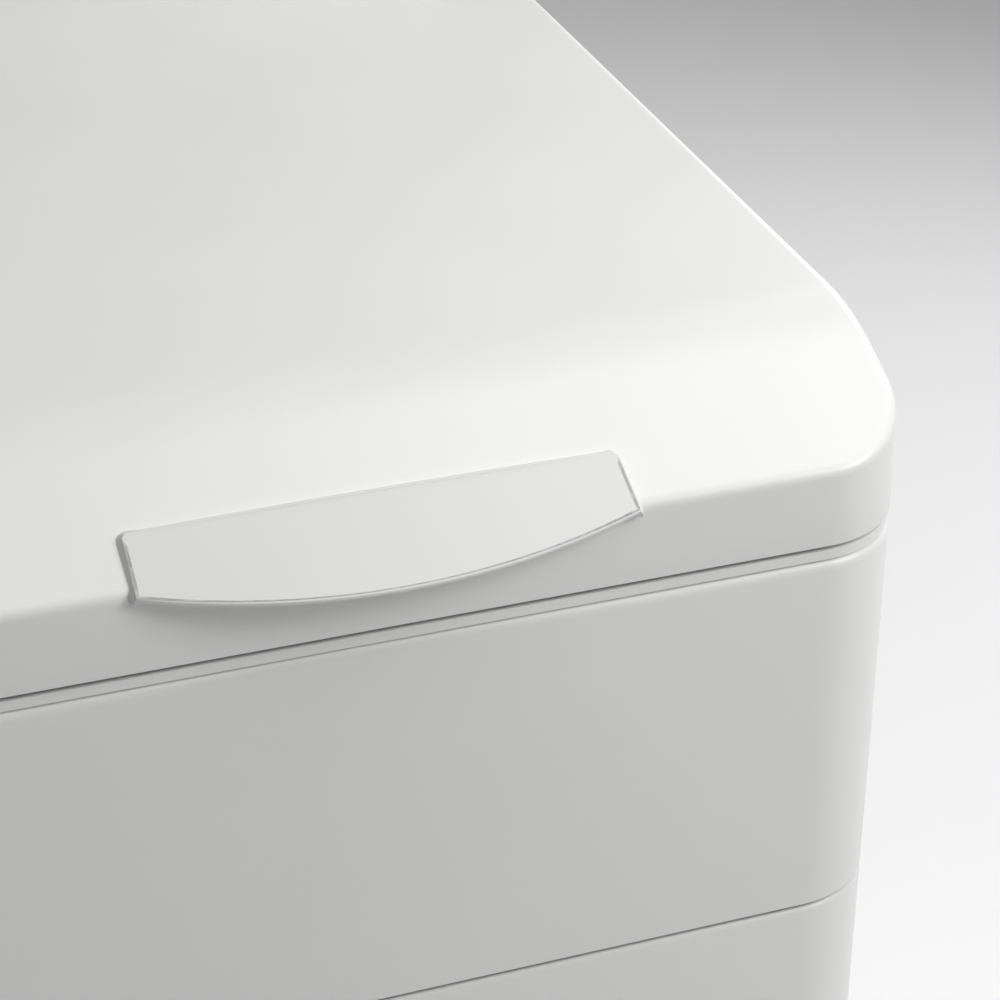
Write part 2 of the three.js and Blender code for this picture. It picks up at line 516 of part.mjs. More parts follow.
// ---- Press: columns, screws, ram and drive ----
function press() {
  const columnTop = SCREW_TOP - 16;
  const low = PLATE_TOP + GAP;
  for (const [side, s] of [["left", -1], ["right", 1]]) {
    const span = (a, b) => [Math.min(s * a, s * b), Math.max(s * a, s * b)];
    const y0 = BIN_Y - COLUMN_DEPTH / 2;
    const y1 = BIN_Y + COLUMN_DEPTH / 2;
    const tips = BIN_HALF + 4;
    const column = box(...span(tips, FRAME_HALF), y0, y1, low, columnTop)
      .subtract(box(...span(tips - 1, FRAME_HALF - COLUMN_WALL), y0 + COLUMN_WALL, y1 - COLUMN_WALL,
        low - 1, columnTop + 1));
    addPart(`column_${side}`, column, zinc);

    const x = s * SCREW_X;
    addPart(`power_screw_${side}`, post(x, BIN_Y, SPROCKET_LOW - 6, SCREW_TOP, SCREW_R), steel);
    addPart(`sprocket_${side}`, post(x, BIN_Y, SPROCKET_LOW, SPROCKET_LOW + SPROCKET_THICK, SPROCKET_R, 28)
      .subtract(post(x, BIN_Y, 0, 90, SCREW_R + 0.2)), darkSteel);
    const ring = (z0, z1, r) => post(x, BIN_Y, z0, z1, r, 20)
      .subtract(post(x, BIN_Y, z0 - 1, z1 + 1, SCREW_R + SCREW_CLEARANCE));
    addPart(`lower_bearing_${side}`, ring(low, low + 12, SCREW_R + SCREW_ROOM), steel);
    const cap = box(...span(tips, FRAME_HALF), y0, y1, columnTop + GAP, columnTop + 8)
      .subtract(post(x, BIN_Y, columnTop - 1, columnTop + 9, SCREW_R + SCREW_CLEARANCE));
    addPart(`upper_bearing_${side}`, cap, darkSteel);

    const nut = box(...span(BIN_HALF + 6, SCREW_X + SCREW_R + 6), BIN_Y - SCREW_R - 12,
      BIN_Y + SCREW_R + 12, YOKE_LOW, YOKE_TOP)
      .subtract(post(x, BIN_Y, YOKE_LOW - 1, YOKE_TOP + 1, SCREW_R + SCREW_CLEARANCE));
    addPart(`ram_nut_${side}`, nut, whitePlastic);
  }

  const yokeX = BIN_HALF + 6 - GAP;
  const w = YOKE_WIDTH / 2;
  addPart("ram_yoke", box(-yokeX, yokeX, BIN_Y - w, BIN_Y + w, YOKE_LOW, YOKE_TOP)
    .subtract(box(-yokeX - 1, yokeX + 1, BIN_Y - w + 3, BIN_Y + w - 3, YOKE_LOW - 1, YOKE_TOP - 3)),
  greyPaint);

  const rx = BIN_HALF - BIN_WALL - RAM_CLEARANCE;
  const ry = (BIN_Y1 - BIN_Y0) / 2 - BIN_WALL - RAM_CLEARANCE;
  const level = (inset, z0, z1) => raise(plan(-rx + inset, rx - inset, BIN_Y - ry + inset,
    BIN_Y + ry - inset, 14 - inset, 14 - inset), z0, z1, 3);
  addPart("ram_box", level(0, RAM_LOW, RAM_LOW + RAM_HEIGHT)
    .subtract(level(RAM_WALL, RAM_LOW + RAM_WALL, RAM_LOW + RAM_HEIGHT + 1)), greyPaint);

  addPart("motor", post(0, MOTOR_Y, PLATE_TOP + GAP, PLATE_TOP + MOTOR_HEIGHT, MOTOR_R, 24)
    .subtract(post(0, MOTOR_Y, PLATE_TOP - 1, PLATE_TOP + 30, 9)), darkSteel);
  addPart("motor_sprocket", post(0, MOTOR_Y, SPROCKET_LOW - 6, PLATE_TOP + 25, 6)
    .add(post(0, MOTOR_Y, SPROCKET_LOW, SPROCKET_LOW + SPROCKET_THICK, MOTOR_SPROCKET_R, 24)), darkSteel);
  const band = (offset, z0, z1) => raise(beltShape([
    [-SCREW_X, BIN_Y, SPROCKET_R + offset], [SCREW_X, BIN_Y, SPROCKET_R + offset],
    [0, MOTOR_Y, MOTOR_SPROCKET_R + offset],
  ]), z0, z1);
  const chainTop = SPROCKET_LOW + SPROCKET_THICK;
  addPart("drive_chain", band(CHAIN_SLACK + CHAIN_THICK, SPROCKET_LOW, chainTop)
    .subtract(band(CHAIN_SLACK, SPROCKET_LOW - 1, chainTop + 1)), steel);
}

// Outline of a taut band round discs given as [x, y, radius]: the convex hull of their rims.
function beltShape(discs) {
  const rim = [];
  for (const [x, y, r] of discs) {
    for (let i = 0; i < 32; i += 1) {
      const a = (i / 32) * 2 * Math.PI;
      rim.push([x + r * Math.cos(a), y + r * Math.sin(a)]);
    }
  }
  rim.sort((p, q) => p[0] - q[0] || p[1] - q[1]);
  const turn = (o, p, q) => (p[0] - o[0]) * (q[1] - o[1]) - (p[1] - o[1]) * (q[0] - o[0]);
  const chainOf = (points) => {
    const hull = [];
    for (const p of points) {
      while (hull.length > 1 && turn(hull[hull.length - 2], hull[hull.length - 1], p) <= 1e-6) hull.pop();
      hull.push(p);
    }
    return hull.slice(0, -1);
  };
  return polygon([...chainOf(rim), ...chainOf(rim.reverse())]);
}

// ---- Drawer ----
const RAIL_LOW = PLATE_TOP + 2;
const RAIL_X = BIN_HALF - 22; // inner side of each rail pair
const DRAWER_LOW = TOE_HEIGHT;
const DRAWER_TOP = APRON_LOW - DRAWER_GAP;

function drawer() {
  const outer = raise(cabinetPlan(0), DRAWER_LOW, DRAWER_TOP, 8);
  const inner = raise(cabinetPlan(SHEET), DRAWER_LOW + SHEET, DRAWER_TOP - SHEET, 8);
  const cutBack = box(-HALF - 1, HALF + 1, FRONT + FRONT_DEPTH, BACK + 1, 0, DRAWER_TOP + 1);
  addPart("drawer_front", outer.subtract(inner).subtract(cutBack), enamel);
  const linerX = HALF - SHEET - 5;
  addPart("drawer_liner", box(-linerX, linerX, FRONT + FRONT_DEPTH - 4, FRONT + FRONT_DEPTH - 1,
    DRAWER_LOW + SHEET + GAP, DRAWER_TOP - SHEET - GAP), greyPaint);
  const gripZ = DRAWER_TOP - GRIP_DROP;
  const plateX = LIP_HALF_END - 6;
  const ahead = box(-HALF, HALF, FRONT - 60, FRONT - GAP, 0, LID_TOP);
  const grip = lip(0, 0, LIP_THICK, FRONT, gripZ).intersect(ahead)
    .add(box(-plateX, plateX, FRONT - 2, FRONT - GAP, gripZ + LIP_MID_Z - 6, gripZ + LIP_END[1] + 4));
  addPart("drawer_handle", grip, enamel);

  const cx = BIN_HALF + 2;
  const cy0 = FRONT + FRONT_DEPTH;
  const cy1 = BIN_Y1 + 2;
  const floor = BIN_FLOOR - GAP;
  const carrier = box(-cx, cx, cy0, cy1, floor - 2, floor + 24)
    .subtract(box(-cx + 1.5, cx - 1.5, cy0 - 1, cy1 - 1.5, floor, floor + 30));
  addPart("drawer_carrier", carrier, greyPaint);

  const bin = (inset, z0, z1) => raise(plan(-BIN_HALF + inset, BIN_HALF - inset, BIN_Y0 + inset,
    BIN_Y1 - inset, BIN_CORNER_R - inset, BIN_CORNER_R - inset), z0, z1, 4);
  addPart("bin", bin(0, BIN_FLOOR, RIM).subtract(bin(BIN_WALL, BIN_FLOOR + BIN_WALL, RIM + 1)),
    greyPaint);

  const ry0 = BIN_Y0 + 14;
  const ry1 = BIN_Y1 + 14;
  const top = floor - 2 - GAP;
  for (const [side, s] of [["left", -1], ["right", 1]]) {
    const span = (a, b) => [Math.min(s * a, s * b), Math.max(s * a, s * b)];
    const channel = (x0, x1, z0, z1, wall) => box(...span(x0, x1), ry0, ry1, z0, z1)
      .subtract(box(...span(x0 - 1, x1 - wall), ry0 - 1, ry1 + 1, z0 + wall, z1 - wall));
    addPart(`rail_fixed_${side}`, channel(RAIL_X, RAIL_X + 13, PLATE_TOP + GAP, top - 3, 1.5), zinc);
    addPart(`rail_middle_${side}`, channel(RAIL_X - 1, RAIL_X + 10, RAIL_LOW + 1, top - 5.5, 1.5), zinc);
    const bar = box(...span(RAIL_X - 4, RAIL_X + 7), ry0, ry1, RAIL_LOW + 4, top - 9)
      .add(box(...span(RAIL_X - 4, RAIL_X - 2), ry0, ry1, RAIL_LOW + 4, top));
    addPart(`rail_drawer_${side}`, bar, steel);
  }
}

cabinet();
tray();
lid();
rearConsole();
base();
press();
drawer();

export default object;
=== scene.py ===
# Freestanding trash compactor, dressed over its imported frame. The sections are the studio, the lid with
# its handle, lining and hinges, the top deck, the cabinet and rear panel, the console, the bag tray, the
# drawer, the press, the drive and the base.
import math
import bmesh
import bpy
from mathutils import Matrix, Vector


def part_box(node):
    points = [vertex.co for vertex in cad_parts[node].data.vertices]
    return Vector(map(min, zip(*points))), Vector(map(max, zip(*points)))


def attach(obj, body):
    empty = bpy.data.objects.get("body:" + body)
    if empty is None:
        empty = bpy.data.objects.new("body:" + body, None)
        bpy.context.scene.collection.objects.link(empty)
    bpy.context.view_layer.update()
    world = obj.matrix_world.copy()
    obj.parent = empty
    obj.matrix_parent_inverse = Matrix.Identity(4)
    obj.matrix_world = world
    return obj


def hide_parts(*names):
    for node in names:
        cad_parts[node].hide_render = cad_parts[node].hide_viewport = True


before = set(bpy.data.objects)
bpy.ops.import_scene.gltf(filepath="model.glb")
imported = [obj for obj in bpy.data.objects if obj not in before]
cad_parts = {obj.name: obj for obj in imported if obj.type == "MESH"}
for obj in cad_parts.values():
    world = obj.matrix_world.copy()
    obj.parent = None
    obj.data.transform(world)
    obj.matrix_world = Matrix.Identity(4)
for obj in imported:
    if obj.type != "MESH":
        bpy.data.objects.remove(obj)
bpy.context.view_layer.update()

MM = 0.001

# Studio. A pale, faintly glowing floor of painted board under five soft boxes: a broad one overhead, a rim
# behind on the right, small ones at the right shoulder and close over the lid, and a weak one at the left.
# The eye stands ahead and to the left of the lid's right front corner and looks down at it.
lid_low, lid_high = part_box("lid_shell")
front_y = lid_low[1]
EYE_LEFT = 391 * MM
EYE_AHEAD = 691.6 * MM
EYE_ABOVE = 466 * MM
EYE_PITCH = math.radians(30.21)
EYE_YAW = math.radians(18.86)
LENS = 95.44


def srgb(text):
    """An sRGB hex colour as the linear RGBA that a shader reads."""
    parts = [int(text[i:i + 2], 16) / 255 for i in (1, 3, 5)]
    return [c / 12.92 if c < 0.04045 else ((c + 0.055) / 1.055) ** 2.4 for c in parts] + [1]


def add(tree, kind, inputs=None, **settings):
    """Adds a node. An input is a value or another node's output, and a setting is the node's own."""
    made = tree.nodes.new(kind)
    for name, value in settings.items():
        setattr(made, name, value)
    for socket, value in (inputs or {}).items():
        if isinstance(value, bpy.types.NodeSocket):
            tree.links.new(value, made.inputs[socket])
        else:
            made.inputs[socket].default_value = value
    return made


def finish(name):
    """A new material with an empty tree, ready for its nodes."""
    material = bpy.data.materials.new(name)
    material.use_nodes = True
    material.node_tree.nodes.clear()
    return material, material.node_tree


scene = bpy.context.scene
scene.view_settings.view_transform = "Standard"

camera_data = bpy.data.cameras.new("camera")
camera_data.lens = LENS
camera = bpy.data.objects.new("camera", camera_data)
camera.location = (lid_high[0] - EYE_LEFT, front_y - EYE_AHEAD, lid_low[2] + EYE_ABOVE)
camera.rotation_euler = (math.pi / 2 - EYE_PITCH, 0, -EYE_YAW)
scene.collection.objects.link(camera)
scene.camera = camera

world = bpy.data.worlds.new("studio")
world.use_nodes = True
world.node_tree.nodes["Background"].inputs["Color"].default_value = srgb("#ffffff")
world.node_tree.nodes["Background"].inputs["Strength"].default_value = 0.08
scene.world = world


def soft_box(name, place, target, size, watts):
    """A square area light that looks at a point."""
    data = bpy.data.lights.new(name, "AREA")
    data.shape = "SQUARE"
    data.size = size
    data.energy = watts
    light = bpy.data.objects.new(name, data)
    light.location = place
    light.rotation_euler = (Vector(target) - Vector(place)).to_track_quat("-Z", "Y").to_euler()
    scene.collection.objects.link(light)


middle = (0, 0, lid_low[2])
soft_box("overhead", (0.5, -0.6, 2.8), middle, 2.4, 24.6)
soft_box("rim", (1.6, 1.2, 1.6), middle, 1.0, 16.1)
soft_box("shoulder", (0.9, -0.9, 1.5), middle, 0.5, 7.2)
soft_box("near_over", (0.5, -0.1, 1.7), middle, 0.6, 2.0)
soft_box("left", (-2.2, -0.6, 1.8), middle, 1.6, 1.8)

SWEEP = 30.0
sweep_mesh = bpy.data.meshes.new("floor")
sweep_mesh.from_pydata(
    [(-SWEEP, -SWEEP, 0), (SWEEP, -SWEEP, 0), (SWEEP, SWEEP, 0), (-SWEEP, SWEEP, 0)], [], [(0, 1, 2, 3)])
sweep = bpy.data.objects.new("floor", sweep_mesh)
scene.collection.objects.link(sweep)
board_paint, tree = finish("matt_board_paint")
grain = add(tree, "ShaderNodeTexNoise", {"Scale": 3.0})
tone = add(tree, "ShaderNodeMix", {0: grain.outputs[0], 6: srgb("#fbfbfb"), 7: srgb("#ffffff")},
           data_type="RGBA")
skin = add(tree, "ShaderNodeBsdfPrincipled", {
    "Base Color": tone.outputs[2], "Roughness": 0.9, "IOR": 1.5, "Emission Color": srgb("#ffffff"),
    "Emission Strength": 0.18})
add(tree, "ShaderNodeOutputMaterial", {"Surface": skin.outputs[0]})
sweep_mesh.materials.append(board_paint)


# Lid. One steel pressing in white enamel: a flat top that rolls over a wide arc into a straight front
# slope, with rounded edges and a plain skirt. The enamel is fired on, so it is even, with a faint
# orange-peel ripple that only the gloss shows.
NOSE_HEIGHT = 28.7 * MM
SLOPE = math.radians(23.5)
ARC_RADIUS = 90.5 * MM
ARC_END = 83.8 * MM
CORNER = 36.5 * MM
REAR_CORNER = 6 * MM
SKIN = 2 * MM
EDGE_ROUND = 4.8 * MM
DRAFT = 0.6 * MM
lid_top = lid_high[2]


def crown(y):
    """Height of the lid's upper surface at a distance behind its front."""
    back = ARC_END - y
    if back <= 0:
        return lid_top
    run = ARC_RADIUS * math.sin(SLOPE)
    if back < run:
        return lid_top - ARC_RADIUS + math.sqrt(ARC_RADIUS ** 2 - back ** 2)
    return lid_low[2] + NOSE_HEIGHT + y * math.tan(SLOPE)


def half_plan(x, y0, y1, front_r, rear_r, stations, steps=20):
    """The right half of a rounded outline from front to rear: place, inward direction."""
    rows = []
    for i in range(steps + 1):
        a = -math.pi / 2 + math.pi / 2 * i / steps
        cx, cy = x - front_r, y0 + front_r
        rows.append((cx + front_r * math.cos(a), cy + front_r * math.sin(a), -math.cos(a), -math.sin(a)))
    rows += [(x, y, -1.0, 0.0) for y in stations]
    rear_steps = 6
    for i in range(rear_steps + 1):
        a = math.pi / 2 * i / rear_steps
        cx, cy = x - rear_r, y1 - rear_r
        rows.append((cx + rear_r * math.cos(a), cy + rear_r * math.sin(a), -math.cos(a), -math.sin(a)))
    return rows


def mesh_of(verts, faces):
    """A plain mesh from its corners and faces."""
    mesh = bpy.data.meshes.new("blank")
    mesh.from_pydata(verts, [], faces)
    mesh.validate()
    return mesh


def settle(name, mesh, material, body, nodes=(), crease=35):
    """A finished piece: smooth up to a crease angle, with its finish, its body and what it stands for."""
    mesh.shade_smooth()
    mesh.set_sharp_from_angle(angle=math.radians(crease))
    mesh.materials.clear()
    mesh.materials.append(material)
    made = bpy.data.objects.new(name, mesh)
    scene.collection.objects.link(made)
    if nodes:
        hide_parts(*nodes)
    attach(made, body)
    return made


def rings_to_shell(rings, close_first=True, close_last=True, loop_back=False):
    """Skins a stack of right-half rings, mirrored to the left. Its ends are capped, or joined in a loop."""
    count = len(rings[0])
    verts = []
    for ring in rings:
        verts += ring + [(-x, y, z) for x, y, z in reversed(ring)]
    faces = []
    loop = 2 * count
    for r in range(len(rings) - (0 if loop_back else 1)):
        n = (r + 1) % len(rings)
        for i in range(loop):
            j = (i + 1) % loop
            faces.append((r * loop + i, r * loop + j, n * loop + j, n * loop + i))
    for r, wanted, flip in ((0, close_first, True), (len(rings) - 1, close_last, False)):
        if wanted:
            for i in range(count - 1):
                strip = [r * loop + i, r * loop + i + 1, r * loop + loop - 2 - i, r * loop + loop - 1 - i]
                faces.append(tuple(reversed(strip)) if flip else tuple(strip))
    return mesh_of(verts, faces)


lid_back = lid_high[1] - front_y
arc_stations = [CORNER + (ARC_END - CORNER) * i / 16 for i in range(1, 17)]
flat_stations = [ARC_END + (lid_back - REAR_CORNER - ARC_END) * i / 8 for i in range(1, 8)]
lid_plan = half_plan(lid_high[0], 0, lid_back, CORNER, REAR_CORNER, arc_stations + flat_stations)


def lid_ring(inset, height):
    """One ring of the lid. The height is a number, or a function of the place and its inward slope.
    Round the tight rear corners a ring stops just short of the corner's centre."""
    ring = []
    for x, y, nx, ny in lid_plan:
        reach = min(inset, REAR_CORNER - 0.1 * MM) if ny < 0 else inset
        px, py = x + nx * reach, y + ny * reach
        rise = (crown(y + 0.5 * MM) - crown(y)) / (0.5 * MM) * ny if ny > 0 else 0.0
        z = height(py, rise) if callable(height) else height
        ring.append((px, front_y + py, z))
    return ring


def edge_height(share):
    """Ring heights round the lid's upper edge, from the skirt (share 0) to the top (share 1)."""
    rings = []
    for x, y, nx, ny in lid_plan:
        rise = (crown(y + 0.5 * MM) - crown(y)) / (0.5 * MM) * max(ny, 0)
        lean = math.atan(rise)
        turn = (math.pi / 2 - lean) * share
        inset = DRAFT + EDGE_ROUND * (1 - math.cos(turn))
        reach = EDGE_ROUND * (1 - math.sin(lean))
        centre = crown(y + ny * (DRAFT + reach)) - EDGE_ROUND * math.cos(lean)
        z = centre + EDGE_ROUND * math.sin(turn)
        rings.append((x + nx * inset, front_y + y + ny * inset, z))
    return rings


hem = 0.5 * MM
lid_rings = [
    lid_ring(SKIN, lambda y, rise: crown(y) - SKIN),
    lid_ring(SKIN, lid_low[2] + hem),
    lid_ring(SKIN - hem, lid_low[2]),
    lid_ring(hem, lid_low[2]),
    lid_ring(0.15 * hem, lid_low[2] + 0.3 * hem),
    lid_ring(0, lid_low[2] + hem),
    lid_ring(0.3 * DRAFT, lid_low[2] + 10 * MM),
]
lid_rings += [edge_height(i / 8) for i in range(9)]
lid_rings.append(lid_ring(DRAFT + EDGE_ROUND + 0.3 * MM, lambda y, rise: crown(y)))
lid_rings.append(lid_ring(DRAFT + EDGE_ROUND + 14 * MM, lambda y, rise: crown(y)))

enamel, tree = finish("fired_white_enamel_on_steel")
place = add(tree, "ShaderNodeTexCoord")
peel = add(tree, "ShaderNodeTexNoise", {"Vector": place.outputs["Object"], "Scale": 420.0, "Detail": 1.0})
drift = add(tree, "ShaderNodeTexNoise", {"Vector": place.outputs["Object"], "Scale": 9.0, "Detail": 2.0})
tone = add(tree, "ShaderNodeMix", {0: drift.outputs[0], 6: srgb("#ebebea"), 7: srgb("#f1f1f0")},
           data_type="RGBA")
rough = add(tree, "ShaderNodeMapRange", {0: drift.outputs[0], 3: 0.30, 4: 0.38})
bump = add(tree, "ShaderNodeBump", {"Strength": 0.06, "Distance": 0.0002, "Height": peel.outputs[0]})
skin = add(tree, "ShaderNodeBsdfPrincipled", {
    "Base Color": tone.outputs[2], "Roughness": rough.outputs[0], "IOR": 1.5,
    "Normal": bump.outputs[0]})
add(tree, "ShaderNodeOutputMaterial", {"Surface": skin.outputs[0]})

settle("lid_pressing", rings_to_shell(lid_rings), enamel, "lid", ["lid_shell"])


# Lip handle. An injection-moulded grip let into the slope: a plate that leaves the lid at a straight
# upper line, stands proud with flared ends, and curves out over the front as a lip for the fingers.
# It is moulded in ABS and painted; its base colour is set darker than the enamel's as painted shade for its
# face.
GRIP_TOP = (20.7 * MM, 39.0 * MM)
GRIP_END = (-2.3 * MM, 28.1 * MM)
GRIP_MID = (-14.7 * MM, 22.3 * MM)
GRIP_HALF_TOP = 83.2 * MM
GRIP_HALF_END = 83.6 * MM
GRIP_BOW = 0.8 * MM
GRIP_DIP = 0.35 * MM
GRIP_RISE = 1.0 * MM
grip_down = Vector((0, GRIP_END[0] - GRIP_TOP[0], GRIP_END[1] - GRIP_TOP[1]))
grip_length = grip_down.length
grip_down.normalize()
grip_out = Vector((1, 0, 0)).cross(-grip_down)
grip_bulge = math.dist(GRIP_END, GRIP_MID)


def arc_points(start, end, sagitta, steps):
    """Points of a shallow arc between two points of a plane, bulging to the right of the way it runs."""
    (x0, y0), (x1, y1) = start, end
    chord = math.dist(start, end)
    radius = (chord ** 2 / 4 + sagitta ** 2) / (2 * sagitta)
    half = math.asin(chord / 2 / radius)
    ux, uy = (x1 - x0) / chord, (y1 - y0) / chord
    points = []
    for i in range(steps + 1):
        a = -half + 2 * half * i / steps
        along = chord / 2 + radius * math.sin(a)
        off = radius * math.cos(a) - radius + sagitta
        points.append((x0 + ux * along + uy * off, y0 + uy * along - ux * off))
    return points


def grip_outline():
    """The lip handle's outline as (across, down, side share), starting at its upper left corner."""
    corner = 2.6 * MM
    rows = []
    low = arc_points((-GRIP_HALF_END, -grip_length), (GRIP_HALF_END, -grip_length), grip_bulge, 56)
    rows += [(u, -v, 0.0) for u, v in low]
    rows[0] = (rows[0][0], rows[0][1], 0.7)
    rows[-1] = (rows[-1][0], rows[-1][1], 0.7)
    side = [(GRIP_HALF_END + (GRIP_HALF_TOP - GRIP_HALF_END) * t, grip_length * (1 - t))
            for t in (0.12, 0.3, 0.5, 0.7)]
    rows += [(u, v, 1.0) for u, v in side]
    bend = [math.radians(a) for a in (0, 22, 45, 68, 90)]
    turn = [(GRIP_HALF_TOP - corner + corner * math.cos(a), corner - corner * math.sin(a)) for a in bend]
    rows += [(u, v, 1.0) for u, v in turn]
    top = arc_points((GRIP_HALF_TOP - corner, 0), (-GRIP_HALF_TOP + corner, 0), GRIP_BOW, 28)
    rows += [(u, -v, 0.6) for u, v in top[1:-1]]
    rows += [(-u, v, 1.0) for u, v in reversed(turn)]
    rows += [(-u, v, 1.0) for u, v in reversed(side)]
    return rows


def grip_mesh(origin, wall=None):
    """Skins the lip handle as rings from the middle of its face, over its edge and down its flared side.
    Against an upright wall, what would lie behind the wall's face becomes a flat flange on it.
    Known fault: the first flank ring lies inside the face's last ring, so a narrow strip of the face
    doubles back along its edge."""
    rows = grip_outline()
    count = len(rows)
    outward = []
    for i in range(count):
        a, b = Vector(rows[i - 1][:2]), Vector(rows[(i + 1) % count][:2])
        run = (b - a).normalized()
        outward.append((-run.y, run.x))
    flank = [(-1.4, 0), (-0.5, -0.05), (-0.12, -0.25), (0, -0.6), (1.0, -1.5), (2.1, -2.7), (2.3, -4.0)]
    lip = [(-1.4, 0), (-0.5, -0.05), (-0.12, -0.25), (0, -0.6), (-0.15, -1.6), (-1.6, -2.5), (-4, -2.9)]
    middle = grip_length * 0.62
    levels = []
    for shrink in (0.985, 0.8, 0.6, 0.42, 0.28, 0.18, 0.1, 0.04):
        ring = []
        for u, v, share in rows:
            down = v + (middle - v) * shrink
            taper = max(0.0, 1 - (u / GRIP_HALF_TOP) ** 2)
            depth = math.exp(-((down - 3.4 * MM) / (2.2 * MM)) ** 2)
            ring.append((u * (1 - 0.06 * shrink), down, -GRIP_DIP * taper * depth))
        levels.append(ring)
    for (flank_out, flank_up), (lip_out, lip_up) in zip(flank, lip):
        ring = []
        for (u, v, share), (nu, nv) in zip(rows, outward):
            reach = (flank_out * share + lip_out * (1 - share)) * MM
            up = (flank_up * share + lip_up * (1 - share)) * MM
            ring.append((u + nu * reach, v + nv * reach, up))
        levels.append(ring)
    verts = []
    for ring in levels:
        for u, v, up in ring:
            at = Vector(origin) + Vector((u, 0, 0)) + grip_down * v + grip_out * (up + GRIP_RISE)
            if wall is not None:
                at.y = min(at.y, wall - (1.5 * MM if up > -1.2 * MM else 0))
            verts.append(tuple(at))
    last = (len(levels) - 1) * count
    faces = [tuple(range(count)), tuple(reversed(range(last, last + count)))]
    for r in range(len(levels) - 1):
        for i in range(count):
            j = (i + 1) % count
            faces.append((r * count + i, (r + 1) * count + i, (r + 1) * count + j, r * count + j))
    return mesh_of(verts, faces)


painted_abs, tree = finish("painted_abs_grip_with_painted_shade")
place = add(tree, "ShaderNodeTexCoord")
peel = add(tree, "ShaderNodeTexNoise", {"Vector": place.outputs["Object"], "Scale": 600.0, "Detail": 1.0})
drift = add(tree, "ShaderNodeTexNoise", {"Vector": place.outputs["Object"], "Scale": 12.0, "Detail": 2.0})
# Painted shade: the grip's base colours are set darker than the enamel's to stand in for the shade on its
# face.
tone = add(tree, "ShaderNodeMix", {0: drift.outputs[0], 6: srgb("#dededd"), 7: srgb("#e5e5e4")},
           data_type="RGBA")
rough = add(tree, "ShaderNodeMapRange", {0: drift.outputs[0], 3: 0.36, 4: 0.44})
bump = add(tree, "ShaderNodeBump", {"Strength": 0.05, "Distance": 0.0002, "Height": peel.outputs[0]})
skin = add(tree, "ShaderNodeBsdfPrincipled", {
    "Base Color": tone.outputs[2], "Roughness": rough.outputs[0], "IOR": 1.49, "Normal": bump.outputs[0]})
add(tree, "ShaderNodeOutputMaterial", {"Surface": skin.outputs[0]})

grip = grip_mesh((0, front_y + GRIP_TOP[0], lid_low[2] + GRIP_TOP[1]))
settle("lid_grip", grip, painted_abs, "lid", ["lid_handle"], crease=50)


# Lid lining, seal and hinges. The lining is a vacuum-formed white panel with a raised middle, and the
# seal is a soft extruded rubber loop pressed into its edge. Two zinc-plated knuckles carry the lid.
lining_low, lining_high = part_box("lid_liner")
seal_low, seal_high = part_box("lid_seal")


def flat_plan(low, high, front_r, rear_r, inset=0.0):
    """A rounded outline between two corners of a box, as right-half rows."""
    y0, y1 = low[1] + inset, high[1] - inset
    fr, rr = max(front_r - inset, 1 * MM), max(rear_r - inset, 1 * MM)
    stations = [y0 + fr + (y1 - rr - y0 - fr) * i / 6 for i in range(1, 6)]
    return half_plan(high[0] - inset, y0, y1, fr, rr, stations)


def level(plan, height, inset=0.0):
    """One flat ring of an outline, pulled in by an inset."""
    return [(x + nx * inset, y + ny * inset, height) for x, y, nx, ny in plan]


white_abs, tree = finish("moulded_white_abs")
place = add(tree, "ShaderNodeTexCoord")
pebble = add(tree, "ShaderNodeTexVoronoi", {"Vector": place.outputs["Object"], "Scale": 900.0})
drift = add(tree, "ShaderNodeTexNoise", {"Vector": place.outputs["Object"], "Scale": 14.0, "Detail": 3.0})
tone = add(tree, "ShaderNodeMix", {0: drift.outputs[0], 6: srgb("#e3e3e0"), 7: srgb("#ebebe8")},
           data_type="RGBA")
rough = add(tree, "ShaderNodeMapRange", {0: drift.outputs[0], 3: 0.42, 4: 0.52})
bump = add(tree, "ShaderNodeBump", {"Strength": 0.12, "Distance": 0.0002, "Height": pebble.outputs[0]})
skin = add(tree, "ShaderNodeBsdfPrincipled", {
    "Base Color": tone.outputs[2], "Roughness": rough.outputs[0], "IOR": 1.53, "Normal": bump.outputs[0]})
add(tree, "ShaderNodeOutputMaterial", {"Surface": skin.outputs[0]})

base_z, face_z = lining_high[2], lining_low[2]
lining_steps = [(0, base_z), (0, face_z), (14 * MM, face_z), (16 * MM, face_z + 1.2 * MM),
                (26 * MM, face_z + 1.2 * MM), (29 * MM, face_z)]
lining_rings = [level(flat_plan(lining_low, lining_high, 34 * MM, 4 * MM, inset), height)
                for inset, height in lining_steps]
lining = rings_to_shell(lining_rings[::-1])
settle("lid_lining", lining, white_abs, "lid", ["lid_liner"])

rubber, tree = finish("moulded_epdm_rubber")
place = add(tree, "ShaderNodeTexCoord")
dust = add(tree, "ShaderNodeTexNoise", {"Vector": place.outputs["Object"], "Scale": 60.0, "Detail": 6.0})
tone = add(tree, "ShaderNodeMix", {0: dust.outputs[0], 6: srgb("#1f1f20"), 7: srgb("#3a3a3b")},
           data_type="RGBA")
bump = add(tree, "ShaderNodeBump", {"Strength": 0.2, "Distance": 0.0003, "Height": dust.outputs[0]})
skin = add(tree, "ShaderNodeBsdfPrincipled", {
    "Base Color": tone.outputs[2], "Roughness": 0.72, "IOR": 1.52, "Normal": bump.outputs[0]})
add(tree, "ShaderNodeOutputMaterial", {"Surface": skin.outputs[0]})

seal_height = seal_high[2] - seal_low[2]
seal_rings = []
for i in range(12):
    a = math.pi * i / 11
    plan = flat_plan(seal_low, seal_high, 31 * MM, 2 * MM, 3 * MM * (1 - math.cos(a)))
    seal_rings.append(level(plan, seal_high[2] - seal_height * math.sin(a)))
seal = rings_to_shell(seal_rings[::-1], close_first=False, close_last=False, loop_back=True)
settle("lid_seal_loop", seal, rubber, "lid", ["lid_seal"], crease=60)

